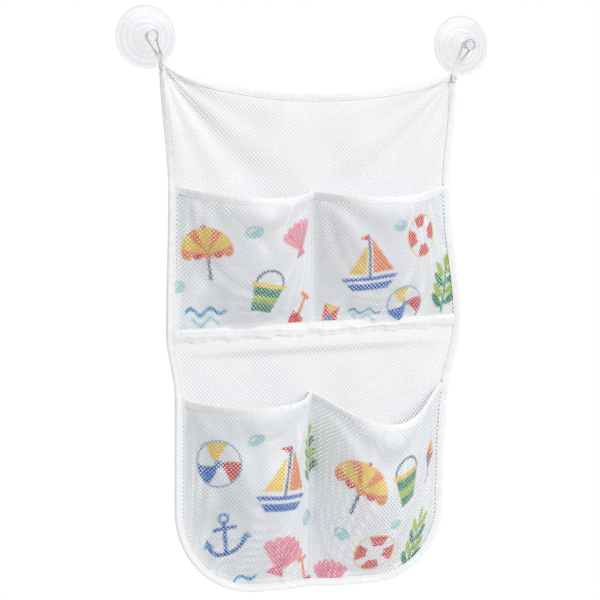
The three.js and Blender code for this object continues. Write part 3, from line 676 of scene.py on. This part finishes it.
for row, shape in STRIPS.items():
    strip_grids[row] = strip_points(**shape)
    strip_flats[row] = strip_layout(strip_grids[row])
    net = knitted(f"{row}_pocket_net", strip_grids[row], strip_flats[row], POCKET_HOLE_SHARE, printed_net)
    places = np.zeros(3*len(net.data.vertices))
    net.data.attributes["flat"].data.foreach_get("vector", places)
    inked = net.data.color_attributes.new("print", "FLOAT_COLOR", "POINT")
    inked.data.foreach_set("color", printed(places.reshape(-1, 3)[:, :2], PRINTS[row]).ravel())
    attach(net, "bag")
    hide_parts(f"{row}_pocket_cloth")
    pocket_nets[row] = net

# Bindings: white woven tape with fine ribs, folded lengthwise over each raw edge and sewn through: one round
# the sides and the bottom, one on the top edge and one on each pocket mouth. Sewing puckers them a little.
TAPE_WIDTH, TAPE_THICK = 0.0056, 0.0006
TAPE_FOLD = 0.0009
TAPE_STEP = 0.0016
UNDER_TAPE = 0.0007
TAPE_HUG = 0.0006
SEW_INSET = 0.0042
SEW_DIMPLE, SEW_REACH = 0.00015, 0.0008
PUCKER, PUCKER_PITCH, PUCKER_SWAY, PUCKER_DRIFT = 0.00022, 0.0105, 2.2, 0.083
HUG_START = 0.2*TAPE_WIDTH
# Rib pitch, and how far the ribs darken the tape's colour as painted shade.
RIB_PITCH, RIB_SHARE = 0.0009, 0.35
SHARP_ANGLE = math.radians(50)
END_STEPS = 2
FACE_SHARES = np.array([1.0, 0.9, SEW_INSET/TAPE_WIDTH, 0.62, 0.38, 0.15])
FOLD_TURNS = np.linspace(0, math.pi, 9)


def length_along(path):
    """How far along a path each of its points lies."""
    return np.concatenate([[0], np.cumsum(np.linalg.norm(np.diff(path, axis=0), axis=1))])


def evenly(points, spacing):
    """The same path with points at an even spacing."""
    along = length_along(points)
    stations = np.linspace(0, along[-1], round(along[-1]/spacing) + 1)
    return np.stack([np.interp(stations, along, axis) for axis in points.T], axis=1)


def unit(vectors):
    return vectors/np.linalg.norm(vectors, axis=-1, keepdims=True)


def closed_mesh(name, rings, tips=None):
    """Smooth closed mesh over a row of rings of points, each end of it flat or drawn to a tip."""
    index = np.arange(rings.size//3).reshape(rings.shape[:2])
    following = np.roll(index, -1, axis=1)
    points = rings.reshape(-1, 3).tolist()
    faces = np.stack([index[:-1], following[:-1], following[1:], index[1:]], -1).reshape(-1, 4).tolist()
    if tips:
        first, last = len(points), len(points) + 1
        faces += [(first, b, a) for a, b in zip(index[0].tolist(), following[0].tolist())]
        faces += [(last, a, b) for a, b in zip(index[-1].tolist(), following[-1].tolist())]
        points += tips
    else:
        faces += [index[0].tolist(), index[-1].tolist()]
    mesh = bpy.data.meshes.new(name)
    mesh.from_pydata(points, [], faces)
    form = bmesh.new()
    form.from_mesh(mesh)
    bmesh.ops.recalc_face_normals(form, faces=form.faces)
    form.to_mesh(mesh)
    form.free()
    mesh.shade_smooth()
    return mesh


def swept(name, sections, material):
    """A closed skin over a row of like sections, with their length and girth kept as an attribute."""
    mesh = closed_mesh(name, sections)
    along, girth = length_along(sections.mean(axis=1)), length_along(sections[0])
    weave = np.dstack([*np.meshgrid(along, girth, indexing="ij"), np.zeros(sections.shape[:2])])
    mesh.attributes.new("weave", "FLOAT_VECTOR", "POINT").data.foreach_set("vector", weave.ravel())
    mesh.set_sharp_from_angle(angle=SHARP_ANGLE)
    return piece(name, mesh, material)


def tape_section():
    """Section of a folded tape as insets from the edge and depths off the cloth, outside then inside."""
    def sleeve(insets, depth, bow):
        front = np.stack([insets, np.full(len(insets), depth)], 1)
        fold = np.stack([-bow*np.sin(FOLD_TURNS), depth*np.cos(FOLD_TURNS)], 1)
        return np.concatenate([front, fold, front[::-1]*[1, -1]])

    insets = TAPE_WIDTH*FACE_SHARES
    outside = sleeve(insets, UNDER_TAPE + TAPE_THICK, TAPE_FOLD)
    inside = sleeve(insets[::2], UNDER_TAPE, TAPE_FOLD - TAPE_THICK)
    return np.concatenate([outside, inside[::-1]])


def folded_tape(name, cloth, material, lift=0.0, tuck=1.0):
    """A tape folded over a cloth's edge, and its line of sewing. cloth gives the row of points at an inset
    from the edge, lift raises the front over what lies on the cloth, and tuck thins it where it closes."""
    inset, depth = tape_section().T
    rows = np.stack([cloth(value) for value in inset], axis=1)
    edge, below = cloth(0.0), cloth(TAPE_WIDTH)
    outward = unit(np.cross(np.gradient(edge, axis=0), below - edge))
    outward = outward*np.where(outward[:, 1:2] > 0, -1, 1)
    lift, tuck = np.reshape(lift, (-1, 1)), np.reshape(tuck, (-1, 1))
    along = np.arange(len(edge))[:, None]*TAPE_STEP
    sway = PUCKER_SWAY*np.sin(2*math.pi*along/PUCKER_DRIFT)
    pucker = PUCKER*np.sin(2*math.pi*along/PUCKER_PITCH + sway)
    loose = np.abs(inset - SEW_INSET)/TAPE_WIDTH
    sewn = SEW_DIMPLE*np.exp(-((inset - SEW_INSET)/SEW_REACH)**2)
    hug = (sewn + TAPE_HUG*eased(inset, HUG_START, TAPE_WIDTH))*np.sign(depth)
    side = np.clip(depth/UNDER_TAPE, -1, 1)
    depths = tuck*(depth + pucker*loose - hug) + lift*(side + 1)/2
    line = cloth(SEW_INSET) + (UNDER_TAPE + TAPE_THICK - TAPE_HUG + lift)*outward
    return swept(name, rows + depths[..., None]*outward[:, None], material), line


def tucked(path, end_depth, reach):
    """Share of its depth that a tape keeps along a path, at whose ends it closes over a reach."""
    from_end = np.minimum(np.arange(len(path)), np.arange(len(path))[::-1])*TAPE_STEP
    return end_depth + (1 - end_depth)*eased(from_end, *reach)


def woven_tape(name, dark, light):
    """Finish of a tape woven with fine ribs across it, with painted shade between the ribs."""
    material, tree, surface = shader(name)
    weave = add(tree, "ShaderNodeAttribute", attribute_name="weave").outputs["Vector"]
    rib = add(tree, "ShaderNodeTexWave", {
        "Vector": weave, "Scale": math.pi/10/RIB_PITCH, "Distortion": 0.6, "Detail": 1.0,
        "Detail Scale": 2.0}).outputs["Fac"]
    cloud = noise(tree, 160.0, 3.0)
    # Painted shade: the colour darkens between the ribs, over a random cloud of tone.
    rib_shade = math_node(tree, "MULTIPLY_ADD", rib, RIB_SHARE, cloud)
    plug(tree, surface, {
        "Base Color": tone(tree, rib_shade, dark, light), "Roughness": between(tree, cloud, 0.55, 0.8),
        "Sheen Weight": 0.1, "Specular IOR Level": 0.35, "Normal": bumped(tree, rib, 0.6, 0.00012)})
    return material


white_tape = woven_tape("white_tape", (0.84, 0.85, 0.865), (0.96, 0.963, 0.968))


def on_panel(x, z, off=0.0):
    """Points of the panel at x and z, or at a height off its front."""
    return np.stack([x, drape(x, z) - off, z], axis=-1)


def panel_tape(name, path, end_depth, lift=0.0, upright=0.0):
    """A tape on an edge of the panel; the cloth lies on the left of the path's direction of travel. Where
    upright is 1 it is cut straight down, and at both ends it closes to a share of its depth."""
    run = unit(np.gradient(path, axis=0))
    into = unit(np.stack([-run[:, 1]*(1 - upright), run[:, 0]], axis=1))
    tuck = tucked(path, end_depth, (0, END_STEPS*TAPE_STEP))
    return folded_tape(name, lambda inset: on_panel(*(path + inset*into).T), white_tape, lift, tuck)


SIDE_START = 0.0048
SIDE_STEPS, CORNER_STEPS, BOTTOM_STEPS, TOP_STEPS = 160, 40, 60, 200
MOUTH_LAYER, LAYER_EASE, MOUTH_CLEAR = 0.0005, 0.004, 0.001
FOOT_CLEAR = (0.001, 0.009)
SIDE_END_DEPTH, TOP_END_DEPTH = 0.45, 0.35
left_z = np.linspace(top_edge(-1) - SIDE_START, BOTTOM_Z + LEFT_RADIUS, SIDE_STEPS)
right_z = np.linspace(BOTTOM_Z + RIGHT_RADIUS, top_edge(1) - SIDE_START, SIDE_STEPS)
drawn_in = 1 - np.cos(np.linspace(0, math.pi/2, CORNER_STEPS))
left_x = LEFT_RADIUS*drawn_in - BOTTOM_HALF_WIDTH
right_x = BOTTOM_HALF_WIDTH - RIGHT_RADIUS*drawn_in[::-1]
bottom_x = np.concatenate([left_x, np.linspace(left_x[-1], right_x[0], BOTTOM_STEPS)[1:-1], right_x])
bottom_z = bottom_edge(bottom_x)
side_path = np.concatenate([
    np.stack([-half_width(left_z, -1), left_z], 1)[:-1],
    np.stack([bottom_x/BOTTOM_HALF_WIDTH*half_width(bottom_z, bottom_x), bottom_z], 1),
    np.stack([half_width(right_z, 1), right_z], 1)[1:],
])
side_path = evenly(side_path, TAPE_STEP)
over_strips = -eased(foot_edge(side_path[:, 0]) - side_path[:, 1], *FOOT_CLEAR)
over_mouths = 0
for shape in STRIPS.values():
    above = side_path[:, 1] - shape["mouth_z"] - np.where(side_path[:, 0] < 0, *shape["climbs"])
    over_strips = over_strips + eased(-above, -LAYER_EASE, LAYER_EASE)
    over_mouths = over_mouths + eased(above, -TAPE_WIDTH - LAYER_EASE, -TAPE_WIDTH)
    over_mouths = over_mouths - eased(above, MOUTH_CLEAR, MOUTH_CLEAR + LAYER_EASE)
edge_tape, edge_line = panel_tape(
    "edge_tape", side_path, SIDE_END_DEPTH, lift=CLOTH_LAYER*over_strips + MOUTH_LAYER*over_mouths)
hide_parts("edge_binding")

top_reach = TOP_HALF_WIDTH + TAPE_FOLD
top_share = np.linspace(1, -1, TOP_STEPS)*top_reach/TOP_HALF_WIDTH
top_path = np.stack([top_share*TOP_HALF_WIDTH, top_edge(top_share)], 1)
top_path = evenly(top_path, TAPE_STEP)
over_sides = eased(np.abs(top_path[:, 0]), TOP_HALF_WIDTH - 2*TAPE_WIDTH, TOP_HALF_WIDTH - TAPE_WIDTH)
top_tape, top_line = panel_tape("top_tape", top_path, TOP_END_DEPTH, upright=over_sides)
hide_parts("top_binding")

MOUTH_TAPE_ROWS = 5
MOUTH_END_DEPTH, MOUTH_TUCK = 0.35, (0.0024, 0.009)
mouth_tapes, mouth_lines = {}, {}
for row, grid in strip_grids.items():
    lip_path = evenly(np.hstack([grid[1:-1, -1], grid[1:-1, -1 - MOUTH_TAPE_ROWS]]), TAPE_STEP)
    lip_edge, into = lip_path[:, :3], unit(lip_path[:, 3:] - lip_path[:, :3])
    mouth_tapes[row], mouth_lines[row] = folded_tape(
        f"{row}_mouth_tape", lambda inset: lip_edge + inset*into, white_tape,
        tuck=tucked(lip_path, MOUTH_END_DEPTH, MOUTH_TUCK))
    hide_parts(f"{row}_mouth_binding")
for tape in (edge_tape, top_tape, *mouth_tapes.values()):
    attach(tape, "bag")

# Hem: the foot of the upper strip is turned under and sewn down. The doubled net below that seam is a soft,
# crumpled white strip that comes off the pocket and lies down on the panel.
HEM_TOP, HEM_DROP = 0.0046, 0.0068
HEM_THICK, HEM_LIES_DOWN = 0.0005, (0.5, 1)
HEM_YARN, HEM_YARN_DEPTH = 0.0009, 0.0004
HEM_STEPS = 260
HEM_TURNS = np.linspace(0, 2*math.pi, 32, endpoint=False)
CRUMPLES = ((1.0, 210, 0.0), (0.7, 377, 1.3), (0.5, 640, 0.4))
CRUMPLE_DROP, CRUMPLE_LAG, CRUMPLE_SWELL, PLAIN_SWELL = 0.0008, 9, 0.0002, 1.6
CREASES = ((0.45, 0.18, 23, 0.8, 0.0006, 0.1), (0.72, 0.14, 31, 2.6, 0.0004, 0.08))

hem_start, hem_end = TAPE_WIDTH - half_width(UPPER_FOOT_Z, -1), half_width(UPPER_FOOT_Z, 1) - TAPE_WIDTH
hem_x = np.linspace(hem_start, hem_end, HEM_STEPS)
crumple = sum(size*np.sin(rate*hem_x + start) for size, rate, start in CRUMPLES)[:, None]
hem_drop = HEM_DROP + CRUMPLE_DROP*np.roll(crumple, CRUMPLE_LAG)
hem_down = (1 - np.cos(HEM_TURNS))/2
hem_z = foot_edge(hem_x)[:, None] + HEM_TOP - (HEM_TOP + hem_drop)*hem_down
hem_face = HEM_THICK + CLOTH_LAYER*(1 - eased(hem_down, *HEM_LIES_DOWN))
hem_swell = CRUMPLE_SWELL*(PLAIN_SWELL + crumple)*np.sin(math.pi*hem_down)
for place, wander, rate, start, depth, wide in CREASES:
    crease = place + wander*np.sin(rate*hem_x + start)[:, None]
    hem_swell = hem_swell + depth*np.exp(-((hem_down - crease)/wide)**2)
hem_grid_x = np.broadcast_to(hem_x[:, None], hem_z.shape)
hem_y = drape(hem_grid_x, hem_z) - hem_face - hem_swell - HEM_THICK/2*np.sin(HEM_TURNS)
doubled_net, tree, surface = shader("doubled_net")
cell = add(tree, "ShaderNodeTexVoronoi", {"Vector": object_place(tree), "Scale": 1/NET_PITCH})
hem_tone = tone(tree, cell.outputs["Distance"], (0.88, 0.885, 0.90), (0.95, 0.953, 0.957))
yarn_finish(tree, surface, HEM_YARN, HEM_YARN_DEPTH, hem_tone)
hem_roll = swept("upper_hem", np.dstack([hem_grid_x, hem_y, hem_z]), doubled_net)
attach(hem_roll, "bag")
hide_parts("upper_pocket_cloth")

# Stitching: lock-stitch rows in white polyester thread close the tapes, part each strip into two pockets
# down its middle and hold the upper hem. Each stitch is a short thread that dips into the cloth at both ends.
STITCH_PITCH, STITCH_LENGTH = 0.0026, 0.0021
THREAD = 0.0006
DIVIDER_STEPS = 90

white_thread, tree, surface = shader("white_thread")
ply = noise(tree, 2400.0, 2.0)
plug(tree, surface, {
    "Base Color": tone(tree, ply, (0.74, 0.75, 0.77), (0.90, 0.905, 0.91)), "Roughness": 0.5,
    "Normal": bumped(tree, ply, 0.4, 0.0001)})

stitch_tree, given, result = modifier_tree("stitch_row", {
    "Pitch": "Float", "Length": "Float", "Thread Size": "Float", "Thread": "Material"})
seam = flow(stitch_tree, "MeshToCurve", {"Mesh": given["Base"]})
spaced = flow(stitch_tree, "ResampleCurve", {"Curve": seam, "Length": given["Pitch"]}, mode="LENGTH")
grain = flow(stitch_tree, "MeshUVSphere", {"Segments": 6, "Rings": 5, "Radius": 0.5})
sized = add(stitch_tree, "ShaderNodeCombineXYZ", {
    "X": given["Length"], "Y": given["Thread Size"], "Z": given["Thread Size"]})
along_seam = add(stitch_tree, "FunctionNodeAlignRotationToVector", {
    "Vector": flow(stitch_tree, "InputTangent")}, axis="X")
sewn = flow(stitch_tree, "InstanceOnPoints", {
    "Points": spaced, "Instance": grain, "Rotation": along_seam.outputs[0], "Scale": sized.outputs[0]})
end_tree(stitch_tree, sewn, given["Thread"], result)


def stitched(name, path, pitch, length):
    """A row of stitches along a path."""
    mesh = bpy.data.meshes.new(name)
    mesh.from_pydata(path.tolist(), [(place, place + 1) for place in range(len(path) - 1)], [])
    sewing = grow(name, piece(name + "_line", mesh), stitch_tree, {
        "Pitch": pitch, "Length": length, "Thread Size": THREAD, "Thread": white_thread})
    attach(sewing, "bag")
    return sewing


seam_lines = {"edge": edge_line[END_STEPS:-END_STEPS], "top": top_line[END_STEPS:-END_STEPS]}
for row, line in mouth_lines.items():
    seam_lines[f"{row}_mouth"] = line
for row, shape in STRIPS.items():
    low = shape["shelf"](np.zeros(1))[0]
    rise = np.linspace(low, shape["mouth_z"] - TAPE_WIDTH, DIVIDER_STEPS)
    seam_lines[f"{row}_divider"] = on_panel(np.zeros(DIVIDER_STEPS), rise, CLOTH_LAYER + THREAD/2)
seam_lines["hem"] = on_panel(hem_x, foot_edge(hem_x) + SEW_INSET, CLOTH_LAYER + HEM_THICK + THREAD/3)
for seam, path in seam_lines.items():
    sewing = stitched(f"{seam}_stitches", path, STITCH_PITCH, STITCH_LENGTH)
    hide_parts("upper_foot_stitching" if seam == "hem" else f"{seam}_stitching")

# Loops: narrow cream tape, folded in half, sewn to the front of each top corner with a bar tack and hooked
# over the neck of its cup. It lies flat on the corner, and its two legs part and turn on their way up to go
# on edge round the neck.
cup_low, cup_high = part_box("right_suction_cup")
CUP_X = (cup_low.x + cup_high.x)/2
CORNER_FRONT = UNDER_TAPE + TAPE_THICK
LOOP_Y = -0.01225
LOOP_ROOT_XS = {-1: TOP_HALF_WIDTH - 0.0002, 1: TOP_HALF_WIDTH - 0.0020}
LOOP_TAIL, LEG_SPREAD = 0.0068, 0.0008
LOOP_RADIUS, LOOP_TOP, LOOP_WRAP = 0.0042, 0.0039, 0.18
LOOP_WIDE, LOOP_THICK, LOOP_SQUARE = 0.0035, 0.0010, 0.5
LEG_PULLS, LEG_STEPS, CROWN_STEPS = (0.1, 0.35), 24, 40
LOOP_STEP, LOOP_SIDES = 0.0007, 16
LOOP_TURNS = {-1: (0.09, 0.27), 1: (0.12, 0.37)}
TACK_WIDE, TACK_TALL, TACK_DROP = 0.0040, 0.0026, 0.0036
TACK_PASSES = 11


def bezier(start, first, second, end, count):
    share = np.linspace(0, 1, count)[:, None]
    rest = 1 - share
    return rest**3*start + 3*rest**2*share*first + 3*rest*share**2*second + share**3*end


def loop_path(side):
    """Middle line of a loop: up one leg from its tail, over the neck and down the other leg."""
    neck = np.array([side*CUP_X, LOOP_Y, 0.0])
    root_z = top_edge(side)
    root_x = side*LOOP_ROOT_XS[side]
    root = np.array([root_x, LOOP_Y, root_z])
    axis = unit(neck - root)
    lateral = np.array([axis[2], 0, -axis[0]])
    centre = neck + (LOOP_TOP - LOOP_RADIUS)*axis
    reach = np.linalg.norm(root - centre)
    up = np.array([0, 0, 1.0])
    legs = []
    for hand in (-1, 1):
        tail_x, tail_z = np.full(2, root_x + hand*LEG_SPREAD), np.array([root_z - LOOP_TAIL, root_z])
        tail = on_panel(tail_x, tail_z, CORNER_FRONT + (1 - side*hand/2)*LOOP_THICK)
        shoulder = centre + LOOP_RADIUS*(hand*math.cos(LOOP_WRAP)*lateral - math.sin(LOOP_WRAP)*axis)
        heading = math.cos(LOOP_WRAP)*axis + hand*math.sin(LOOP_WRAP)*lateral
        leg = bezier(tail[1], tail[1] + (up + axis)*reach*LEG_PULLS[0],
                     shoulder - heading*reach*LEG_PULLS[1], shoulder, LEG_STEPS)
        legs.append(np.concatenate([tail[:1], leg]))
    turn = np.linspace(math.pi + LOOP_WRAP, -LOOP_WRAP, CROWN_STEPS)[1:-1, None]
    crown = centre + LOOP_RADIUS*(np.cos(turn)*lateral + np.sin(turn)*axis)
    return evenly(np.concatenate([legs[0], crown, legs[1][::-1]]), LOOP_STEP)


def loop_tape(name, path, turn_span, material):
    """Flat tape along a loop's middle line: flat at the tails, on edge round the neck, and turned over a
    span of each half of its length."""
    tangent = unit(np.gradient(path, axis=0))
    across = np.array([0, 1.0, 0])
    aside = unit(np.cross(tangent, across))
    from_start = np.arange(len(path))/len(path)
    turn = (math.pi/2*(1 - eased(np.minimum(from_start, 1 - from_start), *turn_span)))[:, None]
    wide = np.cos(turn)*across + np.sin(turn)*aside*np.where(from_start < 0.5, 1, -1)[:, None]
    thick = np.cross(tangent, wide)
    around = np.linspace(0, 2*math.pi, LOOP_SIDES, endpoint=False)
    flat = np.sign(np.cos(around))*np.abs(np.cos(around))**LOOP_SQUARE*LOOP_WIDE/2
    deep = np.sign(np.sin(around))*np.abs(np.sin(around))**LOOP_SQUARE*LOOP_THICK/2
    sections = path[:, None] + flat[None, :, None]*wide[:, None] + deep[None, :, None]*thick[:, None]
    return swept(name, sections, material)


SIDES = {"left": -1, "right": 1}
cream_tape = woven_tape("cream_tape", (0.78, 0.775, 0.735), (0.93, 0.925, 0.89))
for hand, side in SIDES.items():
    loop = loop_tape(f"{hand}_loop_tape", loop_path(side), LOOP_TURNS[side], cream_tape)
    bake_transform(loop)
    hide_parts(f"{hand}_loop")
    passes = np.arange(TACK_PASSES)
    zigzag = on_panel(side*LOOP_ROOT_XS[side] + TACK_WIDE*(passes/(TACK_PASSES - 1) - 0.5),
                      top_edge(side) - TACK_DROP + TACK_TALL/2*np.where(passes % 2, 1, -1),
                      CORNER_FRONT + 2*LOOP_THICK + THREAD/3)
    bar_tack = stitched(f"{hand}_bar_tack", zigzag, THREAD/2, THREAD)
    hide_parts(f"{hand}_loop_tack")

# Suction cups: clear soft vinyl, moulded in one piece with thin ribs on the disc, a neck and a mushroom head
# that keeps the loop on. The hollow side is pressed flat on the wall.
CUP_RADIUS, HOLLOW_RADIUS, HOLLOW_DEPTH = 0.026, 0.0225, 0.003
RIM, RIM_ROUND = 0.001, 0.0004
DISC_RISE, DISC_POWER = 0.0075, 1.6
NECK_RADIUS, NECK_END, NECK_FILLET = 0.0032, 0.016, 0.0011
DISC_GAP, NECK_GAP = 0.0001, 0.0004
HEAD_RADIUS, HEAD_LOW, HEAD_HIGH, HEAD_TOP, FLARE_POWER = 0.0048, 0.01725, 0.0185, 0.021, 1.5
RIDGES = ((0.0246, 0.0006, 0.0004), (0.0200, 0.0012, 0.0005),
          (0.0148, 0.0010, 0.0005), (0.0098, 0.0009, 0.0005))
RIDGE_POWER = 4
# Rings of painted shade on the cups: their pitch, the place of the first light band as shares of the cup's
# radius, and their strength.
RING_PITCH, RING_PLACE, RING_SHARE = 0.19, 0.946, 0.22
CUP_SEGMENTS, HOLLOW_STEPS, RIM_STEPS, DISC_STEPS = 96, 20, 9, 90
FILLET_STEPS, NECK_STEPS, FLARE_STEPS, DOME_STEPS = 8, 6, 7, 14


def cup_profile():
    """Radius and height of the cup from the middle of its hollow round to the top of its head."""
    quarter = math.pi/2
    hollow = [(HOLLOW_RADIUS*share, HOLLOW_DEPTH*(1 - share**2)) for share in np.linspace(0, 1, HOLLOW_STEPS)]
    rim = [(CUP_RADIUS - RIM_ROUND + RIM_ROUND*math.cos(turn), RIM/2*(1 + math.sin(turn)))
           for turn in np.linspace(-quarter, quarter, RIM_STEPS)]
    disc = []
    for radius in np.linspace(CUP_RADIUS - RIM_ROUND - DISC_GAP, NECK_RADIUS + NECK_FILLET, DISC_STEPS):
        rise = RIM + DISC_RISE*((CUP_RADIUS - radius)/(CUP_RADIUS - NECK_RADIUS))**DISC_POWER
        ridge = sum(tall*math.exp(-((radius - place)/wide)**RIDGE_POWER) for place, wide, tall in RIDGES)
        disc.append((radius, rise + ridge))
    low = disc[-1][1]
    fillet = [(NECK_RADIUS + NECK_FILLET*(1 - math.sin(turn)), low + NECK_FILLET*(1 - math.cos(turn)))
              for turn in np.linspace(0, quarter, FILLET_STEPS)[1:]]
    neck = [(NECK_RADIUS, height) for height in np.linspace(fillet[-1][1] + NECK_GAP, NECK_END, NECK_STEPS)]
    flare = [(NECK_RADIUS + (HEAD_RADIUS - NECK_RADIUS)*share**FLARE_POWER,
              NECK_END + (HEAD_LOW - NECK_END)*share) for share in np.linspace(0, 1, FLARE_STEPS)[1:]]
    dome = [(HEAD_RADIUS*math.cos(turn), HEAD_HIGH + (HEAD_TOP - HEAD_HIGH)*math.sin(turn))
            for turn in np.linspace(0, quarter, DOME_STEPS)]
    return np.array(hollow + rim + disc + fillet + neck + flare + dome)


def turned(name, profile, centre_x, material):
    """A closed form turned about the line along y through centre_x, its two ends on that line."""
    turn = np.linspace(0, 2*math.pi, CUP_SEGMENTS, endpoint=False)
    radius, height = profile[1:-1, 0][:, None], profile[1:-1, 1][:, None]
    rings = np.dstack([
        centre_x + radius*np.cos(turn), np.broadcast_to(-height, (len(radius), CUP_SEGMENTS)),
        radius*np.sin(turn)])
    mesh = closed_mesh(name, rings, [(centre_x, -profile[0, 1], 0), (centre_x, -profile[-1, 1], 0)])
    ring = np.append(np.broadcast_to(radius/CUP_RADIUS, rings.shape[:2]).ravel(), [0, 0])
    mesh.attributes.new("ring", "FLOAT", "POINT").data.foreach_set("value", ring)
    return piece(name, mesh, material)


clear_vinyl, tree, surface = shader("clear_vinyl")
haze = noise(tree, 220.0, 3.0)
ring = add(tree, "ShaderNodeAttribute", attribute_name="ring").outputs["Fac"]
# Painted shade: round the disc the colour goes light over the ribs and darker between them, with random haze
# on top.
ring_turn = math_node(tree, "MULTIPLY", math_node(tree, "SUBTRACT", ring, RING_PLACE), 2*math.pi/RING_PITCH)
ring_shade = math_node(tree, "MULTIPLY_ADD", math_node(tree, "COSINE", ring_turn), RING_SHARE, haze)
plug(tree, surface, {
    "Base Color": tone(tree, ring_shade, (0.84, 0.86, 0.895), (0.97, 0.975, 0.985)),
    "Roughness": between(tree, haze, 0.10, 0.26), "Transmission Weight": 0.9, "IOR": 1.42})

for hand, side in SIDES.items():
    cup = turned(f"{hand}_clear_cup", cup_profile(), side*CUP_X, clear_vinyl)
    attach(cup, "wall_cups")
    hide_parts(f"{hand}_suction_cup")
